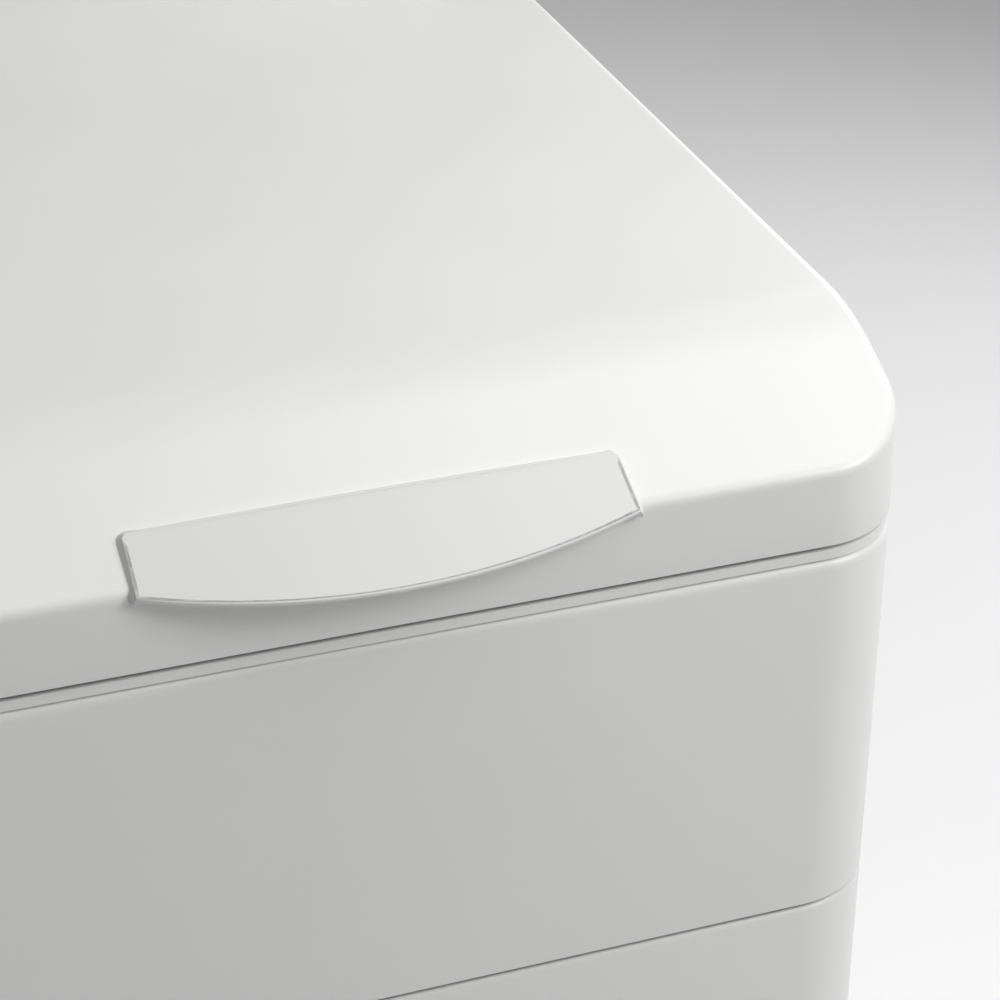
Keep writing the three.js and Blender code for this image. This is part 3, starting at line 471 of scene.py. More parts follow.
zinc, tree = finish("hot_dip_galvanised_steel")
place = add(tree, "ShaderNodeTexCoord")
spangle = add(tree, "ShaderNodeTexVoronoi", {"Vector": place.outputs["Object"], "Scale": 90.0})
cloud = add(tree, "ShaderNodeTexNoise", {"Vector": place.outputs["Object"], "Scale": 18.0, "Detail": 4.0})
flake = add(tree, "ShaderNodeSeparateColor", {0: spangle.outputs["Color"]})
mixed = add(tree, "ShaderNodeMath", {0: flake.outputs[0], 1: cloud.outputs[0]}, operation="MULTIPLY")
tone = add(tree, "ShaderNodeMix", {0: mixed.outputs[0], 6: srgb("#b4b8ba"), 7: srgb("#d6d9da")},
           data_type="RGBA")
rough = add(tree, "ShaderNodeMapRange", {0: flake.outputs[0], 3: 0.34, 4: 0.52})
bump = add(tree, "ShaderNodeBump", {"Strength": 0.05, "Distance": 0.0003, "Height": flake.outputs[0]})
skin = add(tree, "ShaderNodeBsdfPrincipled", {
    "Base Color": tone.outputs[2], "Metallic": 0.9, "Roughness": rough.outputs[0],
    "Normal": bump.outputs[0]})
add(tree, "ShaderNodeOutputMaterial", {"Surface": skin.outputs[0]})


def broken_edges(node, edge):
    """A copy of a node's shape with its flat faces joined up and its sharp edges rounded."""
    shape = bmesh.new()
    shape.from_mesh(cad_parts[node].data)
    bmesh.ops.remove_doubles(shape, verts=shape.verts, dist=0.01 * MM)
    bmesh.ops.dissolve_limit(shape, angle_limit=math.radians(1), verts=shape.verts, edges=shape.edges)
    sharp = [e for e in shape.edges if len(e.link_faces) == 2 and e.calc_face_angle() > math.radians(40)]
    bmesh.ops.bevel(shape, geom=sharp, offset=edge, segments=2, affect="EDGES", profile=0.5,
                    clamp_overlap=True)
    mesh = bpy.data.meshes.new("blank")
    shape.to_mesh(mesh)
    shape.free()
    return mesh


def ring_points(centre, axis, radius, sides, start=0.0):
    """Points on a circle about an axis through a centre."""
    axis = Vector(axis).normalized()
    across = axis.orthogonal().normalized()
    if abs(axis.z) > 0.9:
        across = Vector((1, 0, 0))
    up = axis.cross(across)
    angles = [start + 2 * math.pi * i / sides for i in range(sides)]
    return [Vector(centre) + (across * math.cos(a) + up * math.sin(a)) * radius for a in angles]


def turned(foot, axis, profile, sides=32, start=0.0):
    """A closed turned shape. The profile is rows of distance along the axis and radius."""
    axis = Vector(axis).normalized()
    verts = []
    for along, radius in profile:
        verts += [tuple(p) for p in ring_points(Vector(foot) + axis * along, axis, radius, sides, start)]
    last = (len(profile) - 1) * sides
    faces = [tuple(reversed(range(sides))), tuple(range(last, last + sides))]
    for r in range(len(profile) - 1):
        for i in range(sides):
            j = (i + 1) % sides
            faces.append((r * sides + i, r * sides + j, (r + 1) * sides + j, (r + 1) * sides + i))
    return mesh_of(verts, faces)


def block(low, high, edge=0.0, segments=2):
    """A box between two corners, with its edges rounded when an edge size is given."""
    shape = bmesh.new()
    bmesh.ops.create_cube(shape, size=1.0)
    low, high = Vector(low), Vector(high)
    for v in shape.verts:
        v.co = Vector([low[k] + (high[k] - low[k]) * (v.co[k] + 0.5) for k in range(3)])
    if edge > 0:
        bmesh.ops.bevel(shape, geom=shape.edges[:], offset=edge, segments=segments, affect="EDGES",
                        profile=0.5, clamp_overlap=True)
    mesh = bpy.data.meshes.new("blank")
    shape.to_mesh(mesh)
    shape.free()
    return mesh


def joined(*meshes):
    """Several closed meshes as one."""
    shape = bmesh.new()
    for mesh in meshes:
        shape.from_mesh(mesh)
    mesh = bpy.data.meshes.new("blank")
    shape.to_mesh(mesh)
    shape.free()
    return mesh


def evaluated(carrier):
    """What an object's modifiers make of it, as a plain mesh. The object is thrown away."""
    bpy.context.view_layer.update()
    mesh = bpy.data.meshes.new_from_object(carrier.evaluated_get(bpy.context.evaluated_depsgraph_get()))
    bpy.data.objects.remove(carrier)
    return mesh


def carved(mesh, tool, operation="DIFFERENCE"):
    """A mesh with a tool mesh cut out of it or joined to it."""
    carrier = bpy.data.objects.new("blank", mesh)
    cutter = bpy.data.objects.new("tool", tool)
    scene.collection.objects.link(carrier)
    scene.collection.objects.link(cutter)
    modifier = carrier.modifiers.new("cut", "BOOLEAN")
    modifier.operation = operation
    modifier.solver = "EXACT"
    modifier.object = cutter
    result = evaluated(carrier)
    bpy.data.objects.remove(cutter)
    shape = bmesh.new()
    shape.from_mesh(result)
    bmesh.ops.remove_doubles(shape, verts=shape.verts, dist=0.002 * MM)
    bmesh.ops.dissolve_degenerate(shape, dist=0.002 * MM, edges=shape.edges)
    shape.to_mesh(result)
    shape.free()
    return result


for side in ("left", "right"):
    knuckle = broken_edges(f"hinge_arm_{side}", 0.5 * MM)
    settle(f"hinge_knuckle_{side}", knuckle, zinc, "lid", [f"hinge_arm_{side}"])
    post = broken_edges(f"hinge_bracket_{side}", 0.4 * MM)
    settle(f"hinge_post_{side}", post, zinc, "cabinet", [f"hinge_bracket_{side}"])


# Top deck. A pressed sheet under the lid with a turned-down rim that shows as a light line in the gap,
# and a rounded opening for the bag tray. It is enamelled with the cabinet.
deck_low, deck_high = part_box("top_deck")
panel_low, panel_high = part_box("rear_panel")
tray_low, tray_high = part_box("bag_tray")
SHEET = 1.5 * MM
FLANGE = 10 * MM
TRAY_CORNER = 16 * MM


def box_plan(low, high, front_r, rear_r, stations=4, steps=14):
    """The right half of a rounded outline between two corners that lie alike about the middle."""
    y0, y1 = low[1] + front_r, high[1] - rear_r
    rows = [y0 + (y1 - y0) * i / (stations + 1) for i in range(1, stations + 1)]
    return half_plan(high[0], low[1], high[1], front_r, rear_r, rows, steps)


deck_plan = box_plan(deck_low, deck_high, CORNER - 1 * MM, REAR_CORNER - 1 * MM, steps=20)
deck_top = deck_high[2]
deck = rings_to_shell([
    level(deck_plan, deck_top - SHEET, SHEET), level(deck_plan, deck_low[2], SHEET),
    level(deck_plan, deck_low[2]), level(deck_plan, deck_top - 0.9 * MM),
    level(deck_plan, deck_top - 0.25 * MM, 0.25 * MM), level(deck_plan, deck_top, 0.9 * MM)])
hole_plan = box_plan(tray_low, tray_high, TRAY_CORNER + FLANGE, TRAY_CORNER + FLANGE)
hole = rings_to_shell([level(hole_plan, deck_low[2] - 0.01, FLANGE - 0.3 * MM),
                       level(hole_plan, deck_top + 0.01, FLANGE - 0.3 * MM)])
settle("deck_pressing", carved(deck, hole), enamel, "cabinet", ["top_deck"])


# Cabinet. One sheet wrapped round the front and both sides, rolled over at the top into a short flange,
# with the mouth of the bin drawer cut out of its lower front.
wrap_low, wrap_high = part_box("cabinet_wrapper")
front_low, front_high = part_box("drawer_front")
FOLD = 4 * MM
DRAWER_GAP = 2 * MM


def swept_sheet(rows, section):
    """Sweeps a closed section of (inset, height) rows along a half outline and its mirror image."""
    path = [(-x, y, -nx, ny) for x, y, nx, ny in reversed(rows)] + rows
    verts = [(x + nx * inset, y + ny * inset, z) for x, y, nx, ny in path for inset, z in section]
    count = len(section)
    last = (len(path) - 1) * count
    faces = [tuple(range(count)), tuple(reversed(range(last, last + count)))]
    for r in range(len(path) - 1):
        for i in range(count):
            j = (i + 1) % count
            faces.append((r * count + i, (r + 1) * count + i, (r + 1) * count + j, r * count + j))
    mesh = mesh_of(verts, faces)
    shape = bmesh.new()
    shape.from_mesh(mesh)
    bmesh.ops.recalc_face_normals(shape, faces=shape.faces)
    shape.to_mesh(mesh)
    shape.free()
    return mesh


def corner_rows(x, y0, y1, radius, steps=22):
    """A half outline from the middle of the front, round its corner and back to an open rear end."""
    rows = [(0.0, y0, 0.0, 1.0)]
    for i in range(steps + 1):
        a = -math.pi / 2 + math.pi / 2 * i / steps
        rows.append((x - radius + radius * math.cos(a), y0 + radius + radius * math.sin(a),
                     -math.cos(a), -math.sin(a)))
    rows += [(x, y0 + radius + (y1 - y0 - radius) * i / 6, -1.0, 0.0) for i in range(1, 7)]
    return rows


roll = [math.pi / 2 * i / 7 for i in range(8)]
fold_z = wrap_high[2] - FOLD
wrap_section = [(0, wrap_low[2])]
wrap_section += [(FOLD * (1 - math.cos(a)), fold_z + FOLD * math.sin(a)) for a in roll]
wrap_section += [(14 * MM, wrap_high[2]), (14 * MM, wrap_high[2] - SHEET)]
inner_fold = FOLD - SHEET
wrap_section += [(FOLD - inner_fold * math.cos(a), fold_z + inner_fold * math.sin(a))
                 for a in reversed(roll)]
wrap_section.append((SHEET, wrap_low[2]))
wrap = swept_sheet(corner_rows(wrap_high[0], front_y, wrap_high[1], CORNER), wrap_section)
mouth = block((-0.3, front_y - 0.1, -0.1),
              (0.3, front_high[1] + DRAWER_GAP, front_high[2] + DRAWER_GAP))
settle("cabinet_sheet", carved(wrap, mouth), enamel, "cabinet", ["cabinet_wrapper"])


# Rear panel. A galvanised sheet held by countersunk screws, with two banks of louvres that let the motor
# bay breathe. The louvres are slots with a sloping blade behind each, set out by Geometry Nodes.
PANEL_SHEET = 1.5 * MM
LOUVRE_LENGTH = 96 * MM
LOUVRE_HEIGHT = 4 * MM
LOUVRE_PITCH = 12 * MM
BLADE_DEPTH = 9 * MM
inlet_low, inlet_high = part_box("power_inlet")


def node_group(name, sizes):
    """An empty geometry tree with its sizes as named inputs, and the node that brings them in."""
    group = bpy.data.node_groups.new(name, "GeometryNodeTree")
    group.interface.new_socket("Geometry", in_out="INPUT", socket_type="NodeSocketGeometry")
    for label in sizes:
        group.interface.new_socket(label, in_out="INPUT", socket_type="NodeSocketFloat")
    group.interface.new_socket("Geometry", in_out="OUTPUT", socket_type="NodeSocketGeometry")
    return group, add(group, "NodeGroupInput")


def set_out(group, source, shape, material):
    """Ends a tree: puts a shape on every point of the incoming mesh, turned as its attribute says."""
    turn = add(group, "GeometryNodeInputNamedAttribute", {"Name": "turn"}, data_type="FLOAT_VECTOR")
    copies = add(group, "GeometryNodeInstanceOnPoints", {
        "Points": source.outputs["Geometry"], "Instance": shape, "Rotation": turn.outputs[0]})
    real = add(group, "GeometryNodeRealizeInstances", {"Geometry": copies.outputs[0]})
    dressed = add(group, "GeometryNodeSetMaterial", {"Geometry": real.outputs[0], "Material": material})
    add(group, "NodeGroupOutput", {"Geometry": dressed.outputs[0]})


def grown(group, sizes, places):
    """Runs a tree over places, each a point and its turn about X, Y and Z, and gives back the mesh."""
    seat = bpy.data.meshes.new("seat")
    seat.from_pydata([tuple(point) for point, turn in places], [], [])
    turns = seat.attributes.new("turn", "FLOAT_VECTOR", "POINT")
    turns.data.foreach_set("vector", [value for point, turn in places for value in turn])
    carrier = bpy.data.objects.new("seat", seat)
    scene.collection.objects.link(carrier)
    modifier = carrier.modifiers.new("set_out", "NODES")
    modifier.node_group = group
    for item in group.interface.items_tree:
        if item.in_out == "INPUT" and item.name in sizes:
            modifier[item.identifier] = float(sizes[item.name])
    return evaluated(carrier)


bar_sizes = {"Length": LOUVRE_LENGTH, "Width": BLADE_DEPTH, "Thickness": 1 * MM}
bar_group, source = node_group("bar_row", bar_sizes)
bar_size = add(bar_group, "ShaderNodeCombineXYZ", {
    "X": source.outputs["Length"], "Y": source.outputs["Width"], "Z": source.outputs["Thickness"]})
bar = add(bar_group, "GeometryNodeMeshCube", {"Size": bar_size.outputs[0]})
set_out(bar_group, source, bar.outputs[0], zinc)

back_y = panel_high[1]
louvre_spots = [(x, inlet_low[2] + 70 * MM + LOUVRE_PITCH * i)
                for x in (-60 * MM, 60 * MM) for i in range(12)]
louvre_spots += [(x, panel_high[2] - 60 * MM - LOUVRE_PITCH * i)
                 for x in (-60 * MM, 60 * MM) for i in range(6)]
slots = grown(bar_group, {"Length": LOUVRE_LENGTH, "Width": 8 * MM, "Thickness": LOUVRE_HEIGHT},
              [((x, back_y, z), (0, 0, 0)) for x, z in louvre_spots])
blades = grown(bar_group, bar_sizes, [
    ((x, back_y - PANEL_SHEET - 2.9 * MM, z - 2.2 * MM), (math.radians(48), 0, 0)) for x, z in louvre_spots])

panel = block((panel_low[0], back_y - PANEL_SHEET, panel_low[2]), panel_high, 0.3 * MM)
panel = carved(panel, slots)
panel = carved(panel, block((inlet_low[0] - 0.5 * MM, back_y - 0.01, inlet_low[2] - 0.5 * MM),
                            (inlet_high[0] + 0.5 * MM, back_y + 0.01, inlet_high[2] + 0.5 * MM)))
screw_spots = [(sx * x, z) for sx in (-1, 1) for x in (182 * MM,)
               for z in (40 * MM, 220 * MM, 400 * MM, 580 * MM, 780 * MM)]
screw_spots += [(x, z) for x in (-90 * MM, 0.0, 90 * MM) for z in (24 * MM, 792 * MM)]
lips = [block((min(a, b), back_y - 5.7 * MM, panel_low[2] + 1 * MM),
              (max(a, b), back_y - PANEL_SHEET, wrap_high[2] - 2.5 * MM), 0.3 * MM)
        for a, b in ((-188.7 * MM, -187.2 * MM), (187.2 * MM, 188.7 * MM))]

screw_sizes = {"Radius": 3.6 * MM, "Height": 1.2 * MM}
screw_group, source = node_group("countersunk_screws", screw_sizes)
neck = add(screw_group, "ShaderNodeMath", {0: source.outputs["Radius"], 1: 0.6}, operation="MULTIPLY")
head = add(screw_group, "GeometryNodeMeshCone", {
    "Vertices": 20, "Radius Top": source.outputs["Radius"], "Radius Bottom": neck.outputs[0],
    "Depth": source.outputs["Height"]})
recess = add(screw_group, "GeometryNodeMeshCube", {"Size": (4.4 * MM, 0.9 * MM, 1.4 * MM)})
crossed = add(screw_group, "GeometryNodeMeshCube", {"Size": (0.9 * MM, 4.4 * MM, 1.4 * MM)})
both = add(screw_group, "GeometryNodeMeshBoolean", operation="UNION", solver="EXACT")
screw_group.links.new(recess.outputs[0], both.inputs["Mesh 2"])
screw_group.links.new(crossed.outputs[0], both.inputs["Mesh 2"])
raised = add(screw_group, "GeometryNodeTransform", {"Geometry": both.outputs[0],
                                                    "Translation": (0, 0, 1.1 * MM)})
crosshead = add(screw_group, "GeometryNodeMeshBoolean", {"Mesh 1": head.outputs[0]},
                operation="DIFFERENCE", solver="EXACT")
screw_group.links.new(raised.outputs[0], crosshead.inputs["Mesh 2"])
set_out(screw_group, source, crosshead.outputs[0], zinc)
screws = grown(screw_group, screw_sizes, [
    ((x, back_y - 1.2 * MM, z), (-math.pi / 2, 0, 0)) for x, z in screw_spots])
for x, z in screw_spots:
    hole = turned((x, back_y + 1 * MM, z), (0, -1, 0), [(0, 3.9 * MM), (4 * MM, 3.9 * MM)], 20)
    panel = carved(panel, hole)
settle("rear_sheet", joined(panel, *lips), zinc, "cabinet", ["rear_panel"])
settle("louvre_blades", blades, zinc, "cabinet")
settle("rear_screws", screws, zinc, "cabinet")

black_abs, tree = finish("moulded_black_abs")
place = add(tree, "ShaderNodeTexCoord")
pebble = add(tree, "ShaderNodeTexVoronoi", {"Vector": place.outputs["Object"], "Scale": 800.0})
drift = add(tree, "ShaderNodeTexNoise", {"Vector": place.outputs["Object"], "Scale": 30.0, "Detail": 4.0})
tone = add(tree, "ShaderNodeMix", {0: drift.outputs[0], 6: srgb("#242527"), 7: srgb("#303134")},
           data_type="RGBA")
rough = add(tree, "ShaderNodeMapRange", {0: drift.outputs[0], 3: 0.42, 4: 0.56})
bump = add(tree, "ShaderNodeBump", {"Strength": 0.2, "Distance": 0.0002, "Height": pebble.outputs[0]})
skin = add(tree, "ShaderNodeBsdfPrincipled", {
    "Base Color": tone.outputs[2], "Roughness": rough.outputs[0], "IOR": 1.53, "Normal": bump.outputs[0]})
add(tree, "ShaderNodeOutputMaterial", {"Surface": skin.outputs[0]})

steel, tree = finish("turned_bright_steel")
place = add(tree, "ShaderNodeTexCoord")
stretch = add(tree, "ShaderNodeMapping", {"Vector": place.outputs["Object"], "Scale": (60, 60, 1500)})
lathe = add(tree, "ShaderNodeTexNoise", {"Vector": stretch.outputs[0], "Scale": 1.0, "Detail": 3.0})
tone = add(tree, "ShaderNodeMix", {0: lathe.outputs[0], 6: srgb("#9fa2a5"), 7: srgb("#c3c5c8")},
           data_type="RGBA")
rough = add(tree, "ShaderNodeMapRange", {0: lathe.outputs[0], 3: 0.24, 4: 0.42})
skin = add(tree, "ShaderNodeBsdfPrincipled", {
    "Base Color": tone.outputs[2], "Metallic": 1.0, "Roughness": rough.outputs[0]})
add(tree, "ShaderNodeOutputMaterial", {"Surface": skin.outputs[0]})

inlet_mid = (inlet_low + inlet_high) / 2
socket = block((inlet_mid.x - 11 * MM, back_y - 16 * MM, inlet_mid.z - 9 * MM),
               (inlet_mid.x + 11 * MM, back_y + 1 * MM, inlet_mid.z + 9 * MM), 1.5 * MM)
inlet = carved(block(inlet_low, inlet_high, 1 * MM), socket)
settle("inlet_shroud", inlet, black_abs, "cabinet", ["power_inlet"])
pins = [block((inlet_mid.x + x - 2 * MM, back_y - 16.5 * MM, inlet_mid.z + z - 1 * MM),
              (inlet_mid.x + x + 2 * MM, back_y - 5 * MM, inlet_mid.z + z + 1 * MM), 0.5 * MM)
        for x, z in ((-7 * MM, -2 * MM), (7 * MM, -2 * MM), (0, 3 * MM))]
settle("inlet_pins", joined(*pins), steel, "cabinet")


# Rear console. A white moulded housing behind the lid with a grey fascia let into its sloping front. It
# carries a start and a stop button, a lamp and the key switch, with the control board inside.
console_low, console_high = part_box("console_housing")
fascia_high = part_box("console_fascia")[1]
CONSOLE_WALL = 2.5 * MM
START_X = 60 * MM
STOP_X = 104 * MM
LAMP_X = 16 * MM
KEY_X = -90 * MM
face_foot = Vector((0, console_low[1], console_low[2] + 10 * MM))
face_head = Vector((0, console_low[1] + 39 * MM, console_high[2] - 9 * MM))
face_up = (face_head - face_foot).normalized()
face_out = Vector((1, 0, 0)).cross(face_up)
face_middle = (face_foot + face_head) / 2


def on_face(x, up, out):
    """A point on the console's sloping front, counted from the middle of its face."""
    return face_middle + Vector((x, 0, 0)) + face_up * up + face_out * out


def pulled_in(profile, inset):
    """A convex outline, counter-clockwise, with every point moved inwards by an inset."""
    count = len(profile)
    moved = []
    for i in range(count):
        before, here, after = (Vector(profile[(i + k) % count]) for k in (-1, 0, 1))
        first, second = (here - before).normalized(), (after - here).normalized()
        inward = Vector((-first.y - second.y, first.x + second.x)).normalized()
        share = max(inward.dot(Vector((-first.y, first.x))), 0.3)
        moved.append(tuple(here + inward * (inset / share)))
    return moved


def run_along_x(profile, x0, x1, edge, steps=4):
    """A closed bar along X with a convex profile in Y and Z, and with rounded ends."""
    turns = [math.pi / 2 * i / steps for i in range(steps + 1)] if edge > 0 else [math.pi / 2]
    rings = [(x0 + edge * (1 - math.cos(a)), edge * (1 - math.sin(a))) for a in turns]
    rings = rings + [(x0 + x1 - x, inset) for x, inset in reversed(rings)]
    verts = [(x, y, z) for x, inset in rings for y, z in pulled_in(profile, inset)]
    count = len(profile)
    last = (len(rings) - 1) * count
    faces = [tuple(reversed(range(count))), tuple(range(last, last + count))]
    for r in range(len(rings) - 1):
        for i in range(count):
            j = (i + 1) % count
            faces.append((r * count + i, r * count + j, (r + 1) * count + j, (r + 1) * count + i))
    return mesh_of(verts, faces)


def looped(foot, axis, profile, sides=32):
    """A turned ring whose profile, rows of distance along the axis and radius, closes on itself."""
    axis = Vector(axis).normalized()
    verts = []
    for along, radius in profile:
        verts += [tuple(p) for p in ring_points(Vector(foot) + axis * along, axis, radius, sides)]
    faces = []
    for r in range(len(profile)):
        n = (r + 1) % len(profile)
        for i in range(sides):
            j = (i + 1) % sides
            faces.append((r * sides + i, r * sides + j, n * sides + j, n * sides + i))
    return mesh_of(verts, faces)


head_y, head_z = face_head.y, face_head.z
console_back = console_high[1]
crest = [(head_y + 14 * MM * t ** 2 + 10 * MM * t * (1 - t), head_z + 9 * MM * (2 * t - t ** 2))
         for t in (1, 0.8, 0.6, 0.4, 0.2, 0)]
rear_round = [(console_back - 4 * MM + 4 * MM * math.cos(a), console_high[2] - 4 * MM + 4 * MM * math.sin(a))
              for a in [math.pi / 2 * i / 4 for i in range(5)]]
console_outline = [(face_foot.y, console_low[2]), (console_back, console_low[2])] + rear_round + crest
console_outline.append((face_foot.y, face_foot.z))
console_shell = run_along_x(console_outline, console_low[0], console_high[0], 3 * MM)
cavity = [(y, min(z, console_low[2] - 1 * MM) if z < console_low[2] + 3 * MM else z)
          for y, z in pulled_in(console_outline, CONSOLE_WALL)]
console_shell = carved(console_shell, run_along_x(cavity, console_low[0] + CONSOLE_WALL,
                                                  console_high[0] - CONSOLE_WALL, 0))
fascia_half_x = fascia_high[0]
fascia_half_up = 28 * MM
fascia_rows = []
for corner in range(4):
    for i in range(6):
        a = math.pi / 2 * (corner + i / 5)
        cx = (fascia_half_x - 6 * MM) * (1 if corner in (0, 3) else -1)
        cy = (fascia_half_up - 6 * MM) * (1 if corner in (0, 1) else -1)
        fascia_rows.append((cx, cy, math.cos(a), math.sin(a)))
fascia_verts = []
for out, radius in ((0.3, 6.0), (1.9, 6.0), (2.3, 5.6)):
    fascia_verts += [tuple(on_face(cx + nx * radius * MM, cy + ny * radius * MM, out * MM))
                     for cx, cy, nx, ny in fascia_rows]
fascia_count = len(fascia_rows)
fascia_faces = [tuple(reversed(range(fascia_count))), tuple(range(2 * fascia_count, 3 * fascia_count))]
for r in range(2):
    for i in range(fascia_count):
        j = (i + 1) % fascia_count
        fascia_faces.append((r * fascia_count + i, r * fascia_count + j, (r + 1) * fascia_count + j,
                             (r + 1) * fascia_count + i))
fascia = mesh_of(fascia_verts, fascia_faces)
for x, radius in ((START_X, 9.5 * MM), (STOP_X, 9.5 * MM), (LAMP_X, 5.4 * MM), (KEY_X, 5.5 * MM)):
    bore = turned(on_face(x, 0, -8 * MM), face_out, [(0, radius), (20 * MM, radius)])
    console_shell = carved(console_shell, bore)
    fascia = carved(fascia, bore)
settle("console_moulding", console_shell, white_abs, "cabinet", ["console_housing"])

grey_pp, tree = finish("moulded_grey_polypropylene")
place = add(tree, "ShaderNodeTexCoord")
leather = add(tree, "ShaderNodeTexVoronoi", {"Vector": place.outputs["Object"], "Scale": 650.0})
drift = add(tree, "ShaderNodeTexNoise", {"Vector": place.outputs["Object"], "Scale": 20.0, "Detail": 3.0})
tone = add(tree, "ShaderNodeMix", {0: drift.outputs[0], 6: srgb("#888c8f"), 7: srgb("#94989b")},
           data_type="RGBA")
rough = add(tree, "ShaderNodeMapRange", {0: drift.outputs[0], 3: 0.48, 4: 0.58})
bump = add(tree, "ShaderNodeBump", {"Strength": 0.15, "Distance": 0.0002, "Height": leather.outputs[0]})
skin = add(tree, "ShaderNodeBsdfPrincipled", {
    "Base Color": tone.outputs[2], "Roughness": rough.outputs[0], "IOR": 1.49, "Normal": bump.outputs[0]})
add(tree, "ShaderNodeOutputMaterial", {"Surface": skin.outputs[0]})
bezel_rows = [(2.2, 10.0), (2.2, 12.2), (2.6, 12.2), (3.0, 11.6), (3.0, 10.4), (2.7, 10.0)]
bezels = [looped(on_face(x, 0, 0), face_out, [(along * MM, radius * MM) for along, radius in bezel_rows])
          for x in (START_X, STOP_X)]
settle("console_fascia_plate", joined(fascia, *bezels), grey_pp, "cabinet",
       ["console_fascia"])

button_rows = [(-8, 8.0), (-7.6, 8.6), (5.8, 8.9), (6.7, 8.6), (7.2, 7.8), (7.3, 6.6), (7.0, 4.5),
               (6.8, 0.05)]
button_rows = [(along * MM, radius * MM) for along, radius in button_rows]
start = turned(on_face(START_X, 0, 0), face_out, button_rows)
settle("start_cap", start, white_abs, "start_button", ["start_button"])

red_abs, tree = finish("moulded_red_abs")
place = add(tree, "ShaderNodeTexCoord")
drift = add(tree, "ShaderNodeTexNoise", {"Vector": place.outputs["Object"], "Scale": 60.0, "Detail": 3.0})
tone = add(tree, "ShaderNodeMix", {0: drift.outputs[0], 6: srgb("#a82f26"), 7: srgb("#b93a30")},
           data_type="RGBA")
skin = add(tree, "ShaderNodeBsdfPrincipled", {
    "Base Color": tone.outputs[2], "Roughness": 0.38, "IOR": 1.53})
add(tree, "ShaderNodeOutputMaterial", {"Surface": skin.outputs[0]})
stop = turned(on_face(STOP_X, 0, 0), face_out, button_rows)
settle("stop_cap", stop, red_abs, "stop_button", ["stop_button"])

amber, tree = finish("amber_acrylic_lens")
place = add(tree, "ShaderNodeTexCoord")
depth = add(tree, "ShaderNodeTexNoise", {"Vector": place.outputs["Object"], "Scale": 300.0, "Detail": 2.0})
tone = add(tree, "ShaderNodeMix", {0: depth.outputs[0], 6: srgb("#c8780f"), 7: srgb("#e39a2e")},
           data_type="RGBA")
skin = add(tree, "ShaderNodeBsdfPrincipled", {
    "Base Color": tone.outputs[2], "Roughness": 0.12, "IOR": 1.49})
add(tree, "ShaderNodeOutputMaterial", {"Surface": skin.outputs[0]})
lens_rows = [(-4, 4.2), (-3.6, 4.7), (2.6, 4.9), (3.4, 4.5), (3.9, 3.6), (4.2, 2.2), (4.3, 0.05)]
lens = turned(on_face(LAMP_X, 0, 0), face_out, [(along * MM, radius * MM) for along, radius in lens_rows])
settle("lamp_lens", lens, amber, "cabinet", ["indicator_lens"])

knob_rows = [(-8, 4.4), (-7.6, 4.9), (2.5, 4.9), (2.6, 10.4), (3.0, 10.9), (4.5, 10.8), (5.1, 10.2),
             (5.3, 0.05)]
knob = turned(on_face(KEY_X, 0, 0), face_out, [(along * MM, radius * MM) for along, radius in knob_rows])
wing = block((-2.5 * MM, -10 * MM, 4.3 * MM), (2.5 * MM, 10 * MM, 10.3 * MM), 1 * MM, 3)
for v in wing.vertices:
    v.co = on_face(KEY_X + v.co.x, v.co.y, v.co.z)
knob = carved(knob, wing, "UNION")
settle("key_switch_knob", knob, black_abs, "key", ["key_knob"])

solder_mask, tree = finish("green_solder_mask")
place = add(tree, "ShaderNodeTexCoord")
tracks = add(tree, "ShaderNodeTexBrick", {"Vector": place.outputs["Object"], "Scale": 90.0})
lines = add(tree, "ShaderNodeMix", {0: tracks.outputs["Fac"], 6: srgb("#23523a"), 7: srgb("#3b7a58")},
            data_type="RGBA")
skin = add(tree, "ShaderNodeBsdfPrincipled", {
    "Base Color": lines.outputs[2], "Roughness": 0.35, "IOR": 1.5})
add(tree, "ShaderNodeOutputMaterial", {"Surface": skin.outputs[0]})
board_rows = [((-115, -22, -14), (115, 22, -12), 0.3), ((-96, -12, -24), (-66, 12, -13.9), 1.0),
              ((-50, -10, -22), (-34, 10, -13.9), 1.0), ((-28, -10, -22), (-12, 10, -13.9), 1.0),
              ((70, -16, -20), (100, -8, -13.9), 0.5)]
board_parts = []
for low, high, edge in board_rows:
    shape = block([c * MM for c in low], [c * MM for c in high], edge * MM)
    for v in shape.vertices:
        v.co = on_face(v.co.x, v.co.y, v.co.z)
    board_parts.append(shape)
can_rows = [(0, 5 * MM), (13 * MM, 5 * MM), (13.6 * MM, 4.4 * MM)]
cans = [turned(on_face(x * MM, 0, -13.9 * MM), -face_out, can_rows) for x in (14, 30)]
settle("control_board_sheet", board_parts[0], solder_mask, "cabinet", ["control_board"])
settle("control_board_relays", joined(*board_parts[1:], *cans), black_abs, "cabinet")

